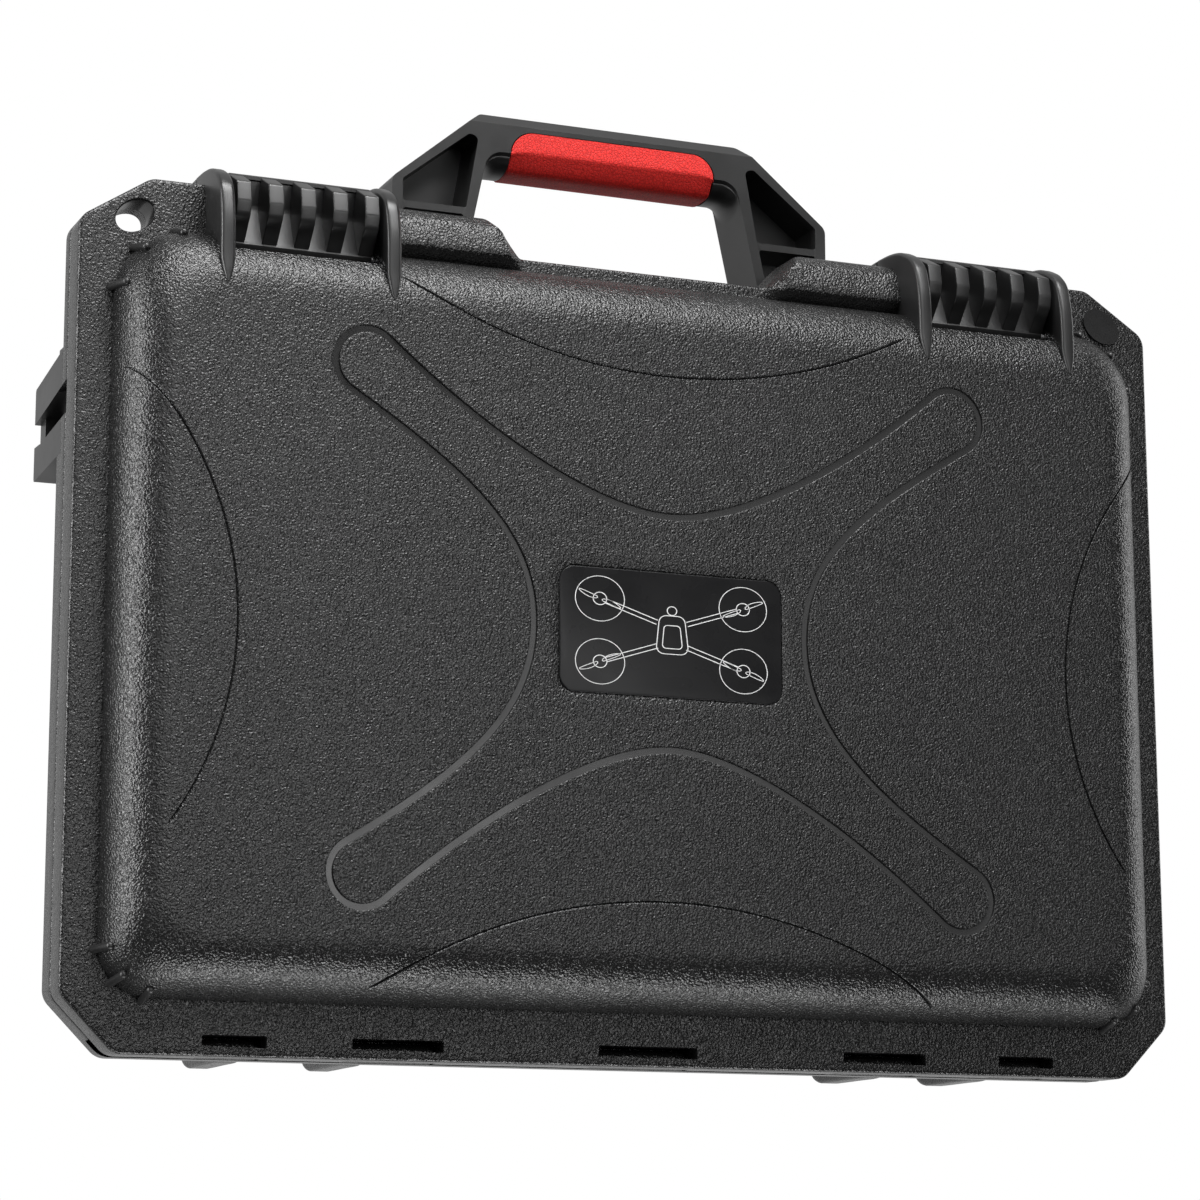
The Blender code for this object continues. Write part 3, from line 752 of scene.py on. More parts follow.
def pad_edge(z):
    """Where the pad's face begins beside the notch, and where its side facet ends at the notch's outline."""
    foot = 45.6 + np.maximum(z - 130.4, 0.0) * 0.888
    return np.maximum(50.8 + (z - 127.0) * 0.34, foot + 0.9), foot


def pad_height(p):
    """Raised pads on both sides of the handle's notch."""
    x, z = np.abs(p[:, 0]), p[:, 1]
    zs, hs = zip(*PAD)
    edge, foot = pad_edge(z)
    share = np.clip((x - foot) / (edge - foot), 0, 1)
    return np.where(x < 100.0, share * np.interp(z, zs, hs, left=0.0, right=0.0), 0.0)


def latch_bay(p):
    return (np.abs(np.abs(p[:, 0]) - LATCH_X) < 25.95) & (p[:, 1] > 117.8)


def front_height(points):
    """How far the lid's front stands out of the flange at each (x, z)."""
    h = dome_height(points)
    lean = np.clip(h / DOME_H, 0.05, 1.0)
    steep = np.minimum(np.hypot(1.0, 1.18 * np.sqrt(1 - lean * lean) / lean), 2.6)
    bay = latch_bay(points)
    h = np.where(bay, np.minimum(h, 2.6), h)
    h = np.maximum(h, np.where(bay, 0.0, pad_height(points)))
    star, _ = distance(points, STAR, True)
    h = h - profile_depth(star, STAR_DEPTH)
    for arc, fade in ARCS:
        signed, share = distance(points, arc, False)
        ends = np.clip(np.minimum(share, 1 - share) / fade, 0, 1)
        cut = np.minimum(profile_depth(signed, ARC_DEPTH) * ends * steep, np.maximum(h - 0.05, 0.0))
        h = h - np.where(h > 0.4, cut, 0.0)
    lx, lz, lc = LABEL
    qx, qz = np.abs(points[:, 0]) - lx + 5.5, np.abs(points[:, 1] - lc) - lz + 5.5
    gap = np.minimum(np.maximum(qx, qz), 0) + np.hypot(np.maximum(qx, 0), np.maximum(qz, 0)) - 5.5
    return h - np.interp(gap, (0.0, 0.31, 0.44, 0.88), (0.7, 0.7, 0.12, 0.0))


def lid_front():
    rim = split(offset(turned_left(flange_loop()), -1.2), 4.0)
    lines = []
    for turn in (0, 5, 10, 16, 23, 30, 37, 44, 51, 58, 65, 72, 79, 85, 90):
        lines.append((split(dome_loop(math.radians(turn)), 4.0), True))
    lines.append((split(dome_loop(0.0, 0.8), 4.0), True))
    for step in STAR_STEPS:
        lines.append((offset(STAR, step), True))
    for arc, _ in ARCS:
        for step in ARC_STEPS:
            lines.append((offset(arc, step, False), False))
    lx, lz, lc = LABEL
    for out in (0.3, 0.45, 0.9):
        lines.append((split(box_loop(lx + out, lc + lz + out, lc - lz - out, 5.5 + out), 3.0), True))
    for side in (-1, 1):
        for x0, x1, z0 in ((-25.95, 25.95, 117.8), (-26.05, 26.05, 117.7)):
            lines.append((split(np.array([(side * LATCH_X + x0, 135.0), (side * LATCH_X + x0, z0), (side * LATCH_X + x1, z0), (side * LATCH_X + x1, 135.0)]), 2.0, False), False))
        for z, _ in PAD[:-1]:
            edge, foot = pad_edge(np.array([z]))
            lines.append((split(np.array([(side * foot[0], z), (side * edge[0], z), (side * 98.0, z)]), 3.0, False), False))
        zs = np.array([z for z, _ in PAD[:-1]] + [134.0, 136.5, 141.0])
        zs.sort()
        edge, foot = pad_edge(zs)
        lines.append((np.c_[side * edge, zs], False))
        lines.append((np.c_[side * foot, zs][zs < 141.5], False))
    points, faces = triangles(rim, (), lines, 5.0, 1.6)
    h = front_height(points)
    middle = points[np.array(faces)].mean(1)
    star_mid, _ = distance(middle, STAR, True)
    slots = [1 if abs(s) < 1.2 else 0 for s in star_mid]
    return rim, np.c_[points[:, 0], -h, points[:, 1]], faces, slots


def make_lid():
    rim, points, faces, slots = lid_front()
    soup = Soup()
    soup.add(points, faces, slots)
    rise = front_height(rim)
    rings = []
    for k in range(0, 6):
        a = math.pi / 2 * k / 5
        ring = offset(rim, 1.2 * math.sin(a)) if k else rim
        rings.append([(x, 1.2 * (1 - math.cos(a)) - up * (1 - math.sin(a)), z) for (x, z), up in zip(ring, rise)])
    edge = offset(rim, 1.2)
    rings.append([(x, LID_T - 0.5, z) for x, z in edge])
    inner = offset(rim, 0.85)
    rings.append([(x, LID_T - 0.12, z) for x, z in offset(rim, 1.1)])
    rings.append([(x, LID_T, z) for x, z in inner])
    soup.rings(rings, 2)
    cavity = [(LID_T, 177.6, 118.1, 17.6), (LID_T - 0.6, 177.0, 117.5, 17.0), (-8.0, 176.2, 116.7, 17.0), (-13.0, 175.0, 115.3, 17.0), (-16.5, 172.3, 112.2, 17.0), (-18.0, 168.5, 107.5, 17.0), (-18.3, 164.0, 102.0, 17.0)]
    loops = [box_loop(hx, hz, -hz, r) for _, hx, hz, r in cavity]
    soup.flat(inner, [loops[0]], LID_T, 2)
    walls = [[(x, y, z) for x, z in loop] for (y, *_), loop in zip(cavity, loops)]
    soup.rings(walls, 2)
    soup.cap(walls[-1], 2)
    mesh = soup.mesh("lid_shell_fine")
    obj = piece("lid_shell_fine", mesh, (SHELL, SMOOTH, EDGE), "lid", 30.0, ("lid_shell",))
    tools = []
    for k, (x0, x1) in enumerate(WINDOWS):
        tools.append(rod(f"t{k}", HINGE_Y, HINGE_Z, RELIEF_R, x0, x1))
        tools.append(along_y(f"w{k}", rounded([(x0 + 0.01, -140.35), (x1 - 0.01, -140.35), (x1 - 0.01, -136.5), (x0 + 0.01, -136.5)], 0.5, 3), -1.0, 9.0))
    boolean(obj, tools[::2], slot=2)
    boolean(obj, tools[1::2], slot=1)
    holes = []
    for side in (-1, 1):
        turn = -side * math.atan2(TOP_CUT[1], TOP_CUT[0])
        rings = []
        for y, out in ((-1.0, 0.8), (-0.02, 0.5), (0.14, 0.24), (0.45, 0.06), (0.8, 0.0), (12.5, 0.0)):
            ring = []
            for k in range(40):
                t = 2 * math.pi * k / 40
                u, v = (7.0 + out) * math.cos(t), (5.0 + out) * math.sin(t)
                ring.append((side * 181.4 + u * math.cos(turn) - v * math.sin(turn), y, 129.9 + u * math.sin(turn) + v * math.cos(turn)))
            rings.append(ring)
        holes.append(solid(f"hole{side}", rings))
    boolean(obj, holes, slot=1)
    obj.data.shade_smooth()
    obj.data.set_sharp_from_angle(angle=math.radians(30))
    return obj


LID = make_lid()


def capsule(soup, a, b, radius, sides=20, steps=7):
    """A round bar from a to b in mm with domed ends."""
    a, b = np.array(a, float), np.array(b, float)
    way = (b - a) / np.linalg.norm(b - a)
    across = np.cross(way, (0.0, 0.0, 1.0) if abs(way[2]) < 0.9 else (1.0, 0.0, 0.0))
    across /= np.linalg.norm(across)
    up = np.cross(way, across)
    rings = []
    for k in range(steps + 1):
        t = math.pi / 2 * (1 - k / steps)
        rings.append((a - way * radius * math.sin(t), max(radius * math.cos(t), 0.12)))
    for k in range(steps + 1):
        t = math.pi / 2 * k / steps
        rings.append((b + way * radius * math.sin(t), max(radius * math.cos(t), 0.12)))
    loops = [[tuple(c + (across * math.cos(2 * math.pi * i / sides) + up * math.sin(2 * math.pi * i / sides)) * r) for i in range(sides)] for c, r in rings]
    soup.rings(loops)
    soup.cap(loops[0])
    soup.cap(loops[-1])


def make_corner_ribs():
    """Three short ribs up the foot of the raised face at each of its corners."""
    soup = Soup()
    for side in (-1, 1):
        for top, r in ((True, FOOT[3]), (False, FOOT[4])):
            cx, cz = side * (FOOT[0] - r), FOOT[1] - r if top else FOOT[2] + r
            middle = math.atan2(1 if top else -1, side)
            for lean in (-36.5, 0.0, 36.5):
                a = middle + math.radians(lean)
                way = np.array([math.cos(a), math.sin(a)])
                low, high = (r + 1.3) * way, (r - 1.7) * way
                capsule(soup, (cx + low[0], 0.4, cz + low[1]), (cx + high[0], -9.2, cz + high[1]), 1.35)
    return piece("corner_ribs", soup.mesh("corner_ribs"), (SATIN,), "lid", 50.0)


make_corner_ribs()

# ------------------------------------------------------------------ guards beside the latches
GUARD = smooth_line(((-21.9, 104.6), (-22.0, 108.0), (-21.6, 114.0), (-21.3, 124.0), (-20.4, 131.0), (-18.3, 138.0), (-14.6, 142.4), (-11.0, 144.8), (-5.0, 147.4), (2.5, 148.7), (11.3, 149.1)), 1.2)


def make_guards():
    soup = Soup()
    profile = np.vstack([GUARD, [(11.3, 132.0), (2.0, 118.0), (-14.0, 102.5)]])
    for side in (-1, 1):
        for gx in GUARD_X:
            start = len(soup.points)
            slab_soup(soup, profile, side * gx - 2.5, side * gx + 2.5, 1.3)
            for i in range(start, len(soup.points)):
                x, y, z = soup.points[i]
                thin = math.sqrt(min(max((z - 104.4) / 8.4, 0.02), 1.0))
                soup.points[i] = (side * gx + (x - side * gx) * thin, y, z)
    return piece("latch_guards", soup.mesh("latch_guards"), (SATIN,), "lid", 40.0)


make_guards()


def make_back_guards():
    soup = Soup()
    profile = smooth_line(((12.0, 149.1), (20.0, 148.9), (24.0, 147.6), (28.5, 143.5), (37.0, 131.0), (44.0, 119.5)), 1.2)
    profile = np.vstack([profile, [(14.0, 119.0), (12.0, 125.0)]])
    for side in (-1, 1):
        for gx in GUARD_X:
            slab_soup(soup, profile, side * gx - 2.5, side * gx + 2.5, 1.5)
    return piece("back_guards", soup.mesh("back_guards"), (SATIN,), "base", 40.0)


make_back_guards()

# ------------------------------------------------------------------ latches
BARREL = [(LATCH_Y + 2.1 * math.cos(math.radians(a)), LATCH_Z + 2.1 * math.sin(math.radians(a))) for a in range(210, 376, 15)]
FRONT = [(-4.0, 146.6), (-5.9, 146.3), (-6.6, 145.7), (-6.6, 144.6), (-5.6, 144.4), (-5.5, 143.2), (-3.6, 137.0), (-3.4, 136.0), (-3.6, 135.0), (-8.8, 122.6), (-9.1, 121.5), (-8.8, 120.9)]
PLATE = np.array([(18.0, 143.8), (18.0, 146.3), (17.4, 147.0)] + FRONT + BARREL + [(-2.4, 126.4), (-1.2, 129.0), (-0.6, 134.0), (-0.6, 143.8)])
RIB = rounded([(-3.5, 146.0), (-6.6, 145.6), (-15.7, 140.9), (-16.9, 134.0), (-15.8, 129.6), (-8.9, 121.9), (-6.5, 123.0), (-3.4, 129.5), (-1.9, 136.0), (-2.6, 145.2)], [0, 0.8, 1.6, 3.0, 5.0, 0.4, 0, 0, 0, 0], 5)


def make_latch(side, name):
    soup = Soup()
    mid = side * LATCH_X
    slab_soup(soup, PLATE, mid - LATCH_HALF, mid + LATCH_HALF, 0.3, 0, 3)
    for k in range(5):
        x = mid + (k - 2) * 11.1
        lo, hi = x - 2.6, x + 2.6
        lo = mid - LATCH_HALF if k == 0 else lo
        hi = mid + LATCH_HALF if k == 4 else hi
        slab_soup(soup, RIB, lo, hi, 0.35)
    obj = piece(f"latch_{name}_fine", soup.mesh(f"latch_{name}_fine"), (SATIN,), f"latch_{name}", 40.0, (f"latch_{name}",))
    return obj


make_latch(-1, "left")
make_latch(1, "right")

# ------------------------------------------------------------------ label and its drawing
LX, LZ, LC = LABEL


def make_label():
    soup = Soup()
    loop = turned_left(box_loop(LX, LC + LZ, LC - LZ, 5.5, steps=12))
    front = -DOME_H - 0.3
    rings = []
    for k in range(5):
        a = math.pi / 2 * k / 4
        rings.append([(x, front + 0.35 * (1 - math.cos(a)), z) for x, z in offset(loop, -0.35 * (1 - math.sin(a)))])
    rings.append([(x, -DOME_H + 0.5, z) for x, z in loop])
    soup.rings(rings)
    soup.cap(rings[0])
    soup.cap(rings[-1])
    return piece("label_plate_fine", soup.mesh("label_plate_fine"), (FILM,), "lid", 40.0, ("label_plate",))


make_label()


def ribbon(soup, line, width, closed):
    """A thin raised line on the label."""
    line = np.asarray(line, float)
    lo, hi = -DOME_H - 0.42, -DOME_H - 0.2
    left, right = offset(line, -width / 2, closed), offset(line, width / 2, closed)
    a = [(x, lo, z) for x, z in left]
    b = [(x, lo, z) for x, z in right]
    c = [(x, hi, z) for x, z in right]
    d = [(x, hi, z) for x, z in left]
    for first, second in ((a, b), (b, c), (c, d), (d, a)):
        soup.strip(first, second, 0, closed)
    if not closed:
        soup.add([a[0], b[0], c[0], d[0]], [(0, 1, 2, 3)])
        soup.add([a[-1], b[-1], c[-1], d[-1]], [(0, 1, 2, 3)])


def make_drawing():
    """A plain four-rotor machine seen from above, of this file's own design."""
    soup = Soup()
    thin = 0.26
    cx, cz = 0.0, LC

    def circle(x, z, r, n=40, start=0.0, sweep=2 * math.pi):
        return np.array([(x + r * math.cos(start + sweep * k / n), z + r * math.sin(start + sweep * k / n)) for k in range(n if sweep > 6.2 else n + 1)])

    body = rounded([(cx - 5.2, cz - 6.5), (cx + 5.2, cz - 6.5), (cx + 3.9, cz + 6.5), (cx - 3.9, cz + 6.5)], 2.4, 6)
    ribbon(soup, turned_left(body), thin, True)
    ribbon(soup, turned_left(rounded([(cx - 3.2, cz - 4.6), (cx + 3.2, cz - 4.6), (cx + 2.5, cz + 3.2), (cx - 2.5, cz + 3.2)], 1.2, 5)), thin, True)
    ribbon(soup, circle(cx, cz + 8.2, 1.5, 24), thin, True)
    for sx in (-1, 1):
        for sz in (-1, 1):
            hx, hz = cx + sx * 22.5, cz + sz * 10.6
            sx0, sz0 = cx + sx * 4.7, cz + sz * 4.0
            along = np.array([hx - sx0, hz - sz0])
            along /= np.linalg.norm(along)
            across = np.array([-along[1], along[0]])
            for off in (-0.75, 0.75):
                ribbon(soup, np.array([np.array([sx0, sz0]) + across * off, np.array([hx, hz]) - along * 2.1 + across * off]), thin, False)
            ribbon(soup, circle(hx, hz, 2.1, 28), thin, True)
            ribbon(soup, circle(hx, hz, 7.6, 64), thin * 0.8, True)
            for turn in (0.0, math.pi):
                a = turn + math.radians(24) * sx * sz
                d, n = np.array([math.cos(a), math.sin(a)]), np.array([-math.sin(a), math.cos(a)])
                hub = np.array([hx, hz])
                blade = [hub + d * u + n * v for u, v in ((1.0, 0.35), (3.0, 0.95), (5.2, 0.8), (6.9, 0.25), (6.9, -0.1), (5.0, -0.3), (2.6, -0.35), (1.0, -0.3))]
                ribbon(soup, turned_left(smooth_line(blade, 0.5, True)), thin * 0.8, True)
    mesh = soup.mesh("label_drawing")
    mesh.transform(Matrix.Diagonal((1.16, 1.0, 1.0, 1.0)))
    return piece("label_drawing", mesh, (INK,), "lid", 40.0)


make_drawing()

# ------------------------------------------------------------------ base shell
BODY_RINGS = [(17.0, 181.0, 121.0), (96.0, 178.9, 118.9)] + [
    (96.0 + 10.0 * math.sin(math.radians(a)), 178.9 - 10.0 * (1 - math.cos(math.radians(a))), 118.9 - 10.0 * (1 - math.cos(math.radians(a))))
    for a in range(10, 91, 10)
]


def make_base():
    soup = Soup()
    rim = split(offset(turned_left(flange_loop()), -0.8), 6.0)
    body = [[(x, y, z) for x, z in box_loop(hx, hz, -hz, 20.0)] for y, hx, hz in BODY_RINGS]
    back = 18.3
    body[0] = [(x, back, z) for x, z in box_loop(181.0, 121.0, -121.0, 20.0)]
    rings = []
    for k in range(5):
        a = math.pi / 2 * k / 4
        rings.append([(x, BASE_Y + 0.8 * (1 - math.cos(a)), z) for x, z in offset(rim, 0.8 * math.sin(a))])
    for k in range(5):
        a = math.pi / 2 * k / 4
        rings.append([(x, back - 1.2 + 1.2 * math.sin(a), z) for x, z in offset(rim, 0.8 - 1.2 * (1 - math.cos(a)))])
    soup.rings(rings, 1)
    groove_out, groove_in = seal_loop(2.0), seal_loop(-2.0)
    cavity = [(BASE_Y, 177.0, 117.5, 17.0), (96.0, 175.0, 115.5, 17.0), (100.0, 173.6, 113.9, 17.0), (102.4, 171.6, 111.6, 17.0), (103.0, 169.0, 109.0, 17.0)]
    loops = [box_loop(hx, hz, -hz, r) for _, hx, hz, r in cavity]
    soup.flat(np.array([(x, z) for x, _, z in rings[0]]), [groove_out], BASE_Y, 1)
    soup.flat(groove_in, [loops[0]], BASE_Y, 1)
    soup.flat(groove_out, [groove_in], BASE_Y + 2.8, 1)
    for loop in (groove_out, groove_in):
        soup.strip([(x, BASE_Y, z) for x, z in loop], [(x, BASE_Y + 2.8, z) for x, z in loop], 1)
    walls = [[(x, y, z) for x, z in loop] for (y, *_), loop in zip(cavity, loops)]
    soup.rings(walls, 1)
    soup.cap(walls[-1], 1)
    soup.flat(np.array([(x, z) for x, _, z in rings[-1]]), [np.array([(x, z) for x, _, z in body[0]])], back, 0)
    soup.rings(body, 0)
    soup.cap(body[-1], 0)
    obj = piece("base_shell_fine", soup.mesh("base_shell_fine"), (SHELL, EDGE, SMOOTH), "base", 30.0, ("base_shell",))
    lower = rounded([(-182.0, LOW_Z), (182.0, LOW_Z), (200.0, LOW_Z + 18.5), (200.0, 88.0), (-200.0, 88.0), (-200.0, LOW_Z + 18.5)], [7.0, 7.0, 7.0, 0.5, 0.5, 7.0], 8)
    lower = split(turned_left(lower), 8.0)
    step = [[(x, 15.0, z) for x, z in offset(lower, -0.02)]]
    for k in range(5):
        a = math.pi / 2 * k / 4
        step.append([(x, 22.1 + 1.2 * math.sin(a), z) for x, z in offset(lower, -0.02 - 1.2 * (1 - math.cos(a)))])
    inner = box_loop(178.6, 118.6, -118.6, 18.0)
    ring = Soup()
    ring.rings(step)
    outer = np.array([(x, z) for x, _, z in step[-1]])
    first = np.array([(x, z) for x, _, z in step[0]])
    low_in = rounded([(-178.6, -118.6), (178.6, -118.6), (178.6, 80.0), (-178.6, 80.0)], [18.0, 18.0, 4.0, 4.0], 8)
    ring.flat(outer, [low_in], 23.3)
    ring.flat(first, [low_in], 15.0)
    ring.strip([(x, 15.0, z) for x, z in low_in], [(x, 23.3, z) for x, z in low_in])
    mesh = ring.mesh("flange_step")
    tool = bpy.data.objects.new("flange_step", mesh)
    SCENE.collection.objects.link(tool)
    boolean(obj, [tool], "UNION", slot=1)
    relief = rod("relief", HINGE_Y, HINGE_Z, RELIEF_R, -187.0, 187.0, 40)
    boolean(obj, [relief], slot=1)
    holes = []
    for side in (-1, 1):
        turn = -side * math.atan2(TOP_CUT[1], TOP_CUT[0])
        rings = []
        for y, out in ((9.0, 0.0), (17.3, 0.0), (18.0, 0.5), (18.6, 1.4), (26.0, 1.6)):
            ring = []
            for k in range(40):
                t = 2 * math.pi * k / 40
                u, v = (7.0 + out) * math.cos(t), (5.0 + out) * math.sin(t)
                ring.append((side * 181.4 + u * math.cos(turn) - v * math.sin(turn), y, 129.9 + u * math.sin(turn) + v * math.cos(turn)))
            rings.append(ring)
        holes.append(solid(f"hole{side}", rings))
    boolean(obj, holes, slot=1)
    obj.data.shade_smooth()
    obj.data.set_sharp_from_angle(angle=math.radians(30))
    return obj


def seal_loop(out):
    return box_loop(181.0 + out, 121.7 + out, -121.7 - out, 22.0 + out, steps=12)


BASE = make_base()


def make_knuckles():
    """Hinge knuckles of both shells, with chamfered ends."""
    for body, spans, name in (
        ("base", [(x0 + 0.35, x1 - 0.35) for x0, x1 in WINDOWS], "base_knuckles"),
        ("lid", [(-161.0, -153.5), (-132.0, -103.5), (-72.2, -17.8), (17.8, 72.2), (103.5, 132.0), (153.5, 161.0)], "lid_knuckles"),
    ):
        soup = Soup()
        for x0, x1 in spans:
            rings = []
            for x, r in ((x0, 1.5), (x0, KNUCKLE_R - 0.4), (x0 + 0.4, KNUCKLE_R), (x1 - 0.4, KNUCKLE_R), (x1, KNUCKLE_R - 0.4), (x1, 1.5)):
                rings.append([(x, HINGE_Y + r * math.cos(2 * math.pi * k / 32), HINGE_Z + r * math.sin(2 * math.pi * k / 32)) for k in range(32)])
            soup.rings(rings)
            soup.strip(rings[0], rings[-1])
        if body == "base":
            for x0, x1 in spans:
                slab_soup(soup, [(HINGE_Y + 0.4, -143.2), (19.5, -143.2), (19.5, -136.8), (HINGE_Y + 0.4, -136.8)], x0, x1, 0.3, 0, 2)
        piece(name, soup.mesh(name), (EDGE,), body, 40.0)


make_knuckles()


def make_feet():
    soup = Soup()
    foot = smooth_line(((20.0, -141.2), (24.0, -142.6), (28.0, LOW_Z + 0.02), (40.0, LOW_Z + 0.02), (55.0, LOW_Z + 0.02), (60.5, -143.0), (65.0, -140.6), (68.2, -134.0), (71.0, -119.0)), 2.0)
    foot = np.vstack([foot, [(70.0, -116.0), (19.0, -116.0)]])
    for side in (-1, 1):
        for x0, x1 in ((133.0, 142.0), (91.0, 100.0)):
            slab_soup(soup, foot, min(side * x0, side * x1), max(side * x0, side * x1), 1.6)
        web = [(19.0, -118.0), (19.0, -138.0), (57.0, -138.0), (66.0, -118.0)]
        slab_soup(soup, web, side * 116.5 - 1.5, side * 116.5 + 1.5, 0.6)
        for lo, hi in ((100.0, 116.5), (116.5, 133.0)):
            bar = [(50.0, -117.0), (50.0, -127.0), (52.5, -127.0), (52.5, -117.0)]
            slab_soup(soup, bar, min(side * lo, side * hi) - 0.5, max(side * lo, side * hi) + 0.5, 0.5)
    return piece("feet", soup.mesh("feet"), (EDGE,), "base", 40.0)


make_feet()


def make_strap_lug(side, name):
    face, inner = side * 200.0, side * 174.0
    arms = [(18.0, 87.0), (53.4, 82.0), (54.0, 81.2), (54.2, 51.0), (53.6, 50.2), (18.0, 52.2)]
    obj = along_x(f"strap_lug_{name}", arms, min(face, inner), max(face, inner))
    far = side * 183.5
    slot = [(11.0, 75.7), (47.0, 70.7), (47.0, 61.4), (11.0, 64.4)]
    tools = [along_x("t", slot, min(side * 202.0, far), max(side * 202.0, far))]
    boolean(obj, tools)
    behind = [(30.0, 73.0), (56.0, 69.6), (56.0, 61.9), (30.0, 62.9)]
    edge = side * 192.0
    boolean(obj, [along_x("t", behind, min(edge, far), max(edge, far))])
    edge = side * 198.0
    boolean(obj, [along_x("t", [(45.0, 70.9), (56.0, 69.6), (56.0, 61.9), (45.0, 61.6)], min(edge, side * 202.0), max(edge, side * 202.0))])
    tidy(obj)
    soften(obj, 0.7)
    obj.data.materials.clear()
    obj.data.materials.append(SATIN)
    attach(obj, "base")
    # the same slot through the flange's edge
    boolean(BASE, [along_x("t", slot, min(side * 202.0, far), max(side * 202.0, far))], slot=1)
    return obj


make_strap_lug(-1, "left")
make_strap_lug(1, "right")


def make_handle_lugs():
    soup = Soup()
    arc = [(HANDLE_Y + 5.5 * math.cos(math.radians(a)), HANDLE_Z + 5.5 * math.sin(math.radians(a))) for a in range(180, -1, -12)]
    profile = [(26.0, 117.0), (28.6, 121.0), (31.0, 127.0)] + arc + [(45.6, 127.0), (48.0, 121.0), (51.0, 117.0)]
    for side in (-1, 1):
        for x0, x1 in ((48.8, 53.8), (84.2, 90.0)):
            slab_soup(soup, profile, min(side * x0, side * x1), max(side * x0, side * x1), 0.8)
    return piece("handle_lugs", soup.mesh("handle_lugs"), (EDGE,), "base", 40.0)


make_handle_lugs()

# ------------------------------------------------------------------ handle
HY0, HY1 = HANDLE_Y - HANDLE_T / 2, HANDLE_Y + HANDLE_T / 2
HANDLE_TOP, BEAM_Z, BELLY_Z = 191.8, 177.8, 171.3
GRIP_HALF, GRIP_TOP, GRIP_END = 39.0, 185.6, 8.6


def window_side(z):
    return 49.9 + (167.3 - z) * 0.21


def make_handle():
    outline = rounded([(-83.4, HANDLE_Z), (83.4, HANDLE_Z), (83.4, 163.5), (49.5, HANDLE_TOP), (-49.5, HANDLE_TOP), (-83.4, 163.5)], [0, 0, 4.0, 3.0, 3.0, 4.0], 6)
    obj = along_y("handle_frame_fine", outline, HY0, HY1)
    feet = []
    for side in (-1, 1):
        lo, hi = sorted((side * 57.3, side * 83.4))
        feet.append(rod("f", HANDLE_Y, HANDLE_Z, HANDLE_T / 2 - 0.02, lo, hi, 48))
    boolean(obj, feet, "UNION", together=False)
    for y, s in ((HY0, 1), (HY1, -1)):
        wedge = [(y - s * 0.5, HANDLE_TOP - 4.7), (y + s * 4.7, HANDLE_TOP + 0.5), (y - s * 0.5, HANDLE_TOP + 0.5)]
        boolean(obj, [along_x("w", wedge, -60.0, 60.0)])
    belly = [(HY0 - 0.5, BEAM_Z), (HY0 + 1.2, 176.3)] + [(HANDLE_Y - 10.2 * math.cos(math.radians(a)), BEAM_Z - 1.0 - 5.6 * math.sin(math.radians(a))) for a in range(12, 169, 12)] + [(HY1 - 1.2, 176.3), (HY1 + 0.5, BEAM_Z)]
    rings = []
    for y, top in [(HY0 - 2, BEAM_Z)] + belly + [(HY1 + 2, BEAM_Z)]:
        a, b = window_side(110.0), window_side(top)
        rings.append([(x, y, z) for x, z in rounded([(-a, 110.0), (a, 110.0), (b, top), (-b, top)], [0, 0, 7.0, 7.0], 8)])
    boolean(obj, [solid("o", rings)])
    seat = [(HY0 - 2, GRIP_TOP + 0.25), (HY0 + 1.9, GRIP_TOP + 0.25), (HY0 + 1.9, 178.9), (HY0 + 5.7, 175.1), (HANDLE_Y, 173.5), (HY1 - 5.7, 175.1), (HY1 - 1.9, 178.9), (HY1 - 1.9, GRIP_TOP + 0.25), (HY1 + 2, GRIP_TOP + 0.25), (HY1 + 2, 165.0), (HY0 - 2, 165.0)]
    bed = along_x("s", seat, -GRIP_HALF - 0.25, GRIP_HALF + 0.25)
    half, top = GRIP_HALF + 0.25, GRIP_TOP + 0.25
    window = rounded([(-half - 0.5, 160.0), (half + 0.5, 160.0), (half, top), (-half, top)], [0, 0, GRIP_END + 0.25, GRIP_END + 0.25], 12)
    boolean(bed, [along_y("q", window, HY0 - 6, HY1 + 6)], "INTERSECT")
    boolean(obj, [bed])
    for side in (-1, 1):
        pocket = rounded([(side * 56.0, 155.4), (side * 79.4, 155.4), (side * 79.4, 163.4), (side * 54.8, 182.8), (side * 51.4, 181.8)], [0.8, 0.8, 1.5, 2.0, 2.0], 4)
        low = rounded([(side * 59.0, 141.5), (side * 79.4, 141.5), (side * 79.4, 152.9), (side * 56.6, 152.9)], 1.0, 3)
        boolean(obj, [along_y("p", pocket, HY0 - 1, HY0 + 17.0), along_y("l", low, HY0 - 1, HY0 + 17.0)])
        boolean(obj, [rod("b", HANDLE_Y, HANDLE_Z, 2.85, side * 69.75 - 18.0, side * 69.75 + 18.0, 32)])
    tidy(obj)
    soften(obj, 0.55, 3, 28.0)
    obj.data.materials.clear()
    obj.data.materials.append(SATIN)
    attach(obj, "handle")
    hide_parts("handle_frame")
    return obj


make_handle()


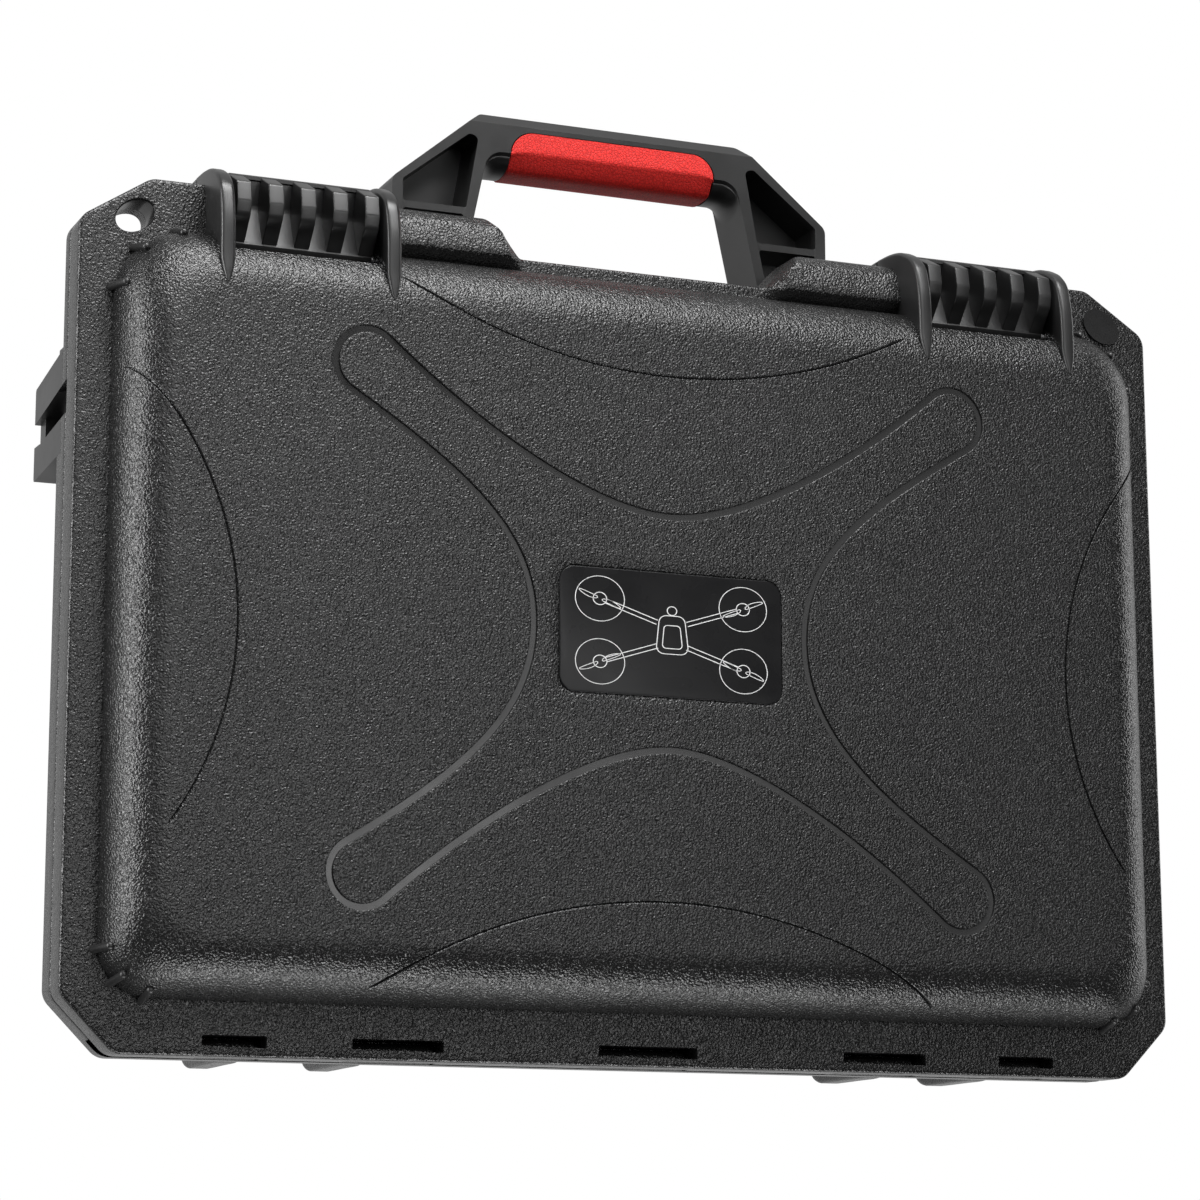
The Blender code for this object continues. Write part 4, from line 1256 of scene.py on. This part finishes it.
def make_grip():
    """Overmould that wraps the beam from below: a C-shaped sleeve with a crease along each side and round-cornered sides."""
    y0, y1, foot, thick = HY0, HY1, 176.4, 1.7
    side = [(0.0, GRIP_TOP), (0.0, 183.8), (0.0, 182.0), (0.0, 180.2), (0.0, 178.9), (0.12, 178.2), (0.5, 177.5), (1.5, 175.9), (2.6, 174.2), (3.7, 172.8), (5.0, 171.9), (7.0, 171.4), (9.2, 171.3)]
    a_out = [(y0 + d, z) for d, z in side] + [(y1 - d, z) for d, z in reversed(side)]
    a_in = [(y1 - thick, GRIP_TOP), (y1 - thick, 179.2), (HY1 - 5.5, 175.4), (HANDLE_Y, 173.9), (HY0 + 5.5, 175.4), (y0 + thick, 179.2), (y0 + thick, GRIP_TOP)]
    profile = turned_left(np.array(a_out + a_in))
    normal = normals(profile)
    rings = []
    for end in (-1, 1):
        across = []
        for k in range(13):
            angle = math.radians(90 * k / 12)
            across.append((GRIP_HALF - GRIP_END + GRIP_END * math.sin(angle), GRIP_TOP - GRIP_END + GRIP_END * math.cos(angle)))
        across = [(x, z) for x, z in across if x < GRIP_HALF - 0.62]
        for step, lift in ((0.6, 0.0), (0.42, 0.06), (0.24, 0.19), (0.1, 0.4), (0.0, 0.6)):
            x = GRIP_HALF - step
            reach = x - GRIP_HALF + GRIP_END
            z = GRIP_TOP - GRIP_END + math.sqrt(max(GRIP_END**2 - reach**2, 0.0))
            across.append((x, z, lift))
        for item in across:
            x, top = item[:2]
            lift = item[2] if len(item) > 2 else 0.0
            squeeze = (top - foot) / (GRIP_TOP - foot)
            line = profile - normal * lift * 0.55
            z = np.where(line[:, 1] > foot, foot + (line[:, 1] - foot) * squeeze, line[:, 1])
            rings.append((end * x, [(end * x, p[0], q) for p, q in zip(line, z)]))
    for x in np.linspace(-(GRIP_HALF - GRIP_END) + 4.0, GRIP_HALF - GRIP_END - 4.0, 9):
        rings.append((float(x), [(float(x), p[0], p[1]) for p in profile]))
    rings.sort(key=lambda pair: pair[0])
    obj = solid("handle_grip_fine", [ring for _, ring in rings])
    obj.data.shade_smooth()
    obj.data.set_sharp_from_angle(angle=math.radians(40.0))
    obj.data.materials.clear()
    obj.data.materials.append(GRIP)
    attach(obj, "handle")
    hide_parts("handle_grip")
    return obj


make_grip()


# ------------------------------------------------------------------ seal and pins
def make_seal():
    soup = Soup()
    rings = []
    for k in range(12):
        a = 2 * math.pi * (k + 0.5) / 12
        out, y = 1.6 * math.cos(a), BASE_Y + 1.25 + 1.3 * math.sin(a)
        rings.append([(x, max(y, BASE_Y - 0.05), z) for x, z in seal_loop(out)])
    rings.append(rings[0])
    soup.rings(rings)
    return piece("lid_seal_cord", soup.mesh("lid_seal_cord"), (SEAL,), "base", 60.0, ("lid_seal",))


make_seal()


def make_pin(name, y, z, r, x0, x1, body):
    soup = Soup()
    rings = []
    for x, rr in ((x0, r - 0.3), (x0 + 0.3, r), (x1 - 0.3, r), (x1, r - 0.3)):
        rings.append([(x, y + rr * math.cos(2 * math.pi * k / 28), z + rr * math.sin(2 * math.pi * k / 28)) for k in range(28)])
    soup.rings(rings)
    soup.cap(rings[0])
    soup.cap(rings[-1])
    return piece(f"{name}_turned", soup.mesh(f"{name}_turned"), (STEEL,), body, 40.0, (name,))


make_pin("hinge_pin_left", HINGE_Y, HINGE_Z, 1.25, -157.0, -0.5, "base")
make_pin("hinge_pin_right", HINGE_Y, HINGE_Z, 1.25, 0.5, 157.0, "base")
for side, name in ((-1, "left"), (1, "right")):
    make_pin(f"latch_pin_{name}", LATCH_Y, LATCH_Z, 1.3, side * LATCH_X - 30.4, side * LATCH_X + 30.4, "lid")
    make_pin(f"handle_pin_{name}", HANDLE_Y, HANDLE_Z, 2.5, side * 69.75 - 20.0, side * 69.75 + 20.0, "base")

# ------------------------------------------------------------------ foam
POCKETS = (
    ("controller", -162.0, 14.0, 12.0, 102.0, 50.0), ("aircraft", -162.0, -12.0, -102.0, -2.0, 64.0),
    ("battery_1", 30.0, 68.0, 22.0, 102.0, 56.0), ("battery_2", 78.0, 116.0, 22.0, 102.0, 56.0),
    ("battery_3", 126.0, 164.0, 22.0, 102.0, 56.0), ("charger", 4.0, 84.0, -102.0, -14.0, 44.0),
    ("spares", 100.0, 164.0, -102.0, 4.0, 40.0),
)


def foam_edge(loop, y, r, into, slot=0, soup=None):
    """Rounds the edge between the face at y and a wall: rings from the face to the wall."""
    rings = []
    for k in range(5):
        a = math.pi / 2 * k / 4
        rings.append([(x, y + r * (1 - math.cos(a)), z) for x, z in offset(loop, into * (r * math.sin(a)))])
    return rings


def make_foam_block():
    soup = Soup()
    outer = turned_left(box_loop(173.4, 113.9, -113.9, 14.6, steps=10))
    outer = split(outer, 12.0)
    top = offset(outer, -1.8)
    holes = []
    for name, x0, x1, z0, z1, deep in POCKETS:
        loop = split(turned_left(rounded([(x0, z0), (x1, z0), (x1, z1), (x0, z1)], 7.0, 8)), 12.0)
        mouth = offset(loop, 1.6)
        holes.append(mouth)
        rings = []
        for k in range(5):
            a = math.pi / 2 * k / 4
            rings.append([(x, 14.2 + 1.6 * (1 - math.cos(a)), z) for x, z in offset(loop, 1.6 * (1 - math.sin(a)))])
        floor_y = 14.0 + deep
        for k in range(1, 6):
            t = k / 6
            rings.append([(x, 15.8 + (floor_y - 1.5 - 15.8) * t, z) for x, z in loop])
        for k in range(4):
            a = math.pi / 2 * k / 3
            rings.append([(x, floor_y - 1.5 * (1 - math.sin(a)), z) for x, z in offset(loop, -1.5 * (1 - math.cos(a)))])
        soup.rings(rings)
        soup.flat(np.array([(x, z) for x, _, z in rings[-1]]), [], floor_y, 0, 9.0)
    soup.flat(top, holes, 14.2, 0, 8.0)
    rings = []
    for k in range(5):
        a = math.pi / 2 * k / 4
        rings.append([(x, 14.2 + 1.8 * (1 - math.cos(a)), z) for x, z in offset(outer, -1.8 * (1 - math.sin(a)))])
    for t in (0.25, 0.5, 0.75):
        rings.append([(x, 16.0 + 75.0 * t, z) for x, z in outer])
    for k in range(4):
        a = math.pi / 2 * k / 3
        rings.append([(x, 92.0 - 1.0 * (1 - math.sin(a)), z) for x, z in offset(outer, -1.0 * (1 - math.cos(a)))])
    soup.rings(rings)
    soup.flat(np.array([(x, z) for x, _, z in rings[-1]]), [], 92.0, 0, 14.0)
    obj = piece("base_foam_cut", soup.mesh("base_foam_cut"), (FOAM_BASE,), "base", 50.0, ("base_foam_block",))
    return obj


make_foam_block()


def make_foam_pad():
    soup = Soup()
    outer = split(turned_left(box_loop(169.8, 109.8, -109.8, 14.0)), 12.0)
    rings = []
    for y, inset in ((92.4, 1.0), (92.8, 0.3), (93.6, 0.0), (97.4, -0.15), (101.2, 0.0), (102.0, 0.3), (102.4, 1.0)):
        rings.append([(x, y, z) for x, z in offset(outer, -inset)])
    soup.rings(rings)
    for ring, y in ((rings[0], 92.4), (rings[-1], 102.4)):
        soup.flat(np.array([(x, z) for x, _, z in ring]), [], y, 0, 14.0)
    obj = piece("base_foam_sheet", soup.mesh("base_foam_sheet"), (FOAM_BASE,), "base", 50.0, ("base_foam_pad",))


make_foam_pad()


def make_lid_foam():
    """Egg-crate foam: rounded peaks and hollows in a square pattern, flat round its edge."""
    soup = Soup()
    outer = split(turned_left(box_loop(167.6, 106.6, -106.6, 15.0)), 4.0)
    top_loop = offset(outer, -1.5)
    points, faces = triangles(top_loop, [], (), 2.4, 1.2)
    hx, hz = 166.1, 105.1
    edge = np.minimum(hx - np.abs(points[:, 0]), hz - np.abs(points[:, 1]))
    fade = np.clip(edge / 9.0, 0, 1)
    fade = fade * fade * (3 - 2 * fade)
    pitch = 23.8
    wave = np.cos(2 * math.pi * points[:, 0] / pitch) * np.cos(2 * math.pi * points[:, 1] / pitch)
    wave = 0.5 + 0.5 * np.sign(wave) * np.abs(wave) ** 0.85
    y = 1.5 + (wave * 7.3 - 0.0) * fade
    soup.add(np.c_[points[:, 0], y, points[:, 1]], faces)
    rings = [[(x, 1.5, z) for x, z in top_loop]]
    for k in range(1, 5):
        a = math.pi / 2 * k / 4
        rings.append([(x, 1.5 - 1.5 * (1 - math.cos(a)), z) for x, z in offset(outer, -1.5 * (1 - math.sin(a)))])
    rings.append([(x, -8.0, z) for x, z in outer])
    rings.append([(x, -16.8, z) for x, z in outer])
    rings.append([(x, -17.8, z) for x, z in offset(outer, -1.0)])
    soup.rings(rings)
    soup.flat(np.array([(x, z) for x, _, z in rings[-1]]), [], -17.8, 0, 14.0)
    obj = piece("lid_foam_crate", soup.mesh("lid_foam_crate"), (FOAM_LID,), "lid", 60.0, ("lid_foam",))


make_lid_foam()

# ------------------------------------------------------------------ camera, world and light
camera = bpy.data.objects.new("camera", bpy.data.cameras.new("camera"))
SCENE.collection.objects.link(camera)
camera.data.sensor_width = 36.0
camera.data.lens = 106.09
forward, up = Vector((0.37607, 0.90569, 0.19571)).normalized(), Vector((-0.07257, -0.18178, 0.98066)).normalized()
right = forward.cross(up).normalized()
up = right.cross(forward)
turn = Matrix((right, up, -forward)).transposed()
camera.matrix_world = Matrix.Translation((-0.46733, -1.12654, -0.07752)) @ turn.to_4x4()
camera.data.clip_start, camera.data.clip_end = 0.01, 20.0
SCENE.camera = camera


world = bpy.data.worlds.new("studio")
SCENE.world = world
world.use_nodes = True
nodes, links = world.node_tree.nodes, world.node_tree.links
fill = nodes["Background"]
fill.inputs["Color"].default_value = (1, 1, 1, 1)
# The studio is white behind the case and dark in front of it.
where = nodes.new("ShaderNodeTexCoord")
split = nodes.new("ShaderNodeSeparateXYZ")
links.new(where.outputs["Generated"], split.inputs[0])
grade = nodes.new("ShaderNodeMapRange")
grade.interpolation_type = "SMOOTHSTEP"
grade.inputs["From Min"].default_value = 0.0
grade.inputs["From Max"].default_value = 0.35
grade.inputs["To Min"].default_value = 0.0
grade.inputs["To Max"].default_value = 0.6
links.new(split.outputs["Y"], grade.inputs["Value"])
links.new(grade.outputs["Result"], fill.inputs["Strength"])
white = nodes.new("ShaderNodeBackground")
white.inputs["Strength"].default_value = 1.0
white.inputs["Color"].default_value = (1, 1, 1, 1)
path = nodes.new("ShaderNodeLightPath")
mix = nodes.new("ShaderNodeMixShader")
links.new(path.outputs["Is Camera Ray"], mix.inputs["Fac"])
links.new(fill.outputs[0], mix.inputs[1])
links.new(white.outputs[0], mix.inputs[2])
links.new(mix.outputs[0], nodes["World Output"].inputs["Surface"])

CENTRE = Vector((0.0, -0.04, 0.15))


def area(name, around, above, far, width, height, power, spread=180.0, colour=(1, 1, 1)):
    """A soft box. around is degrees to the right of the lid's front, above is degrees up."""
    a, e = math.radians(around), math.radians(above)
    way = Vector((math.sin(a) * math.cos(e), -math.cos(a) * math.cos(e), math.sin(e)))
    data = bpy.data.lights.new(name, "AREA")
    data.shape, data.size, data.size_y, data.energy, data.color = "RECTANGLE", width, height, power, colour
    data.spread = math.radians(spread)
    obj = bpy.data.objects.new(name, data)
    obj.location = CENTRE + way * far
    obj.rotation_mode = "QUATERNION"
    obj.rotation_quaternion = (-way).to_track_quat("-Z", "Y")
    SCENE.collection.objects.link(obj)
    obj.visible_camera = False
    return obj


area("front", -15, 20, 2.2, 1.4, 1.4, 10.5)
area("front_low", 12, 2, 2.0, 0.6, 0.6, 5.5)
area("glow", 26, 9, 2.1, 0.5, 0.6, 1.2)
area("high", -4, 66, 1.5, 1.1, 0.5, 31)
area("left", -88, 9, 1.4, 0.34, 1.3, 21)
area("low", 15, -76, 1.4, 1.4, 0.3, 17)
area("right", 92, 8, 1.4, 0.35, 1.3, 6.3)
area("top", 15, 43, 1.5, 0.7, 0.3, 6)

SCENE.view_settings.view_transform = "Standard"
SCENE.view_settings.look = "None"
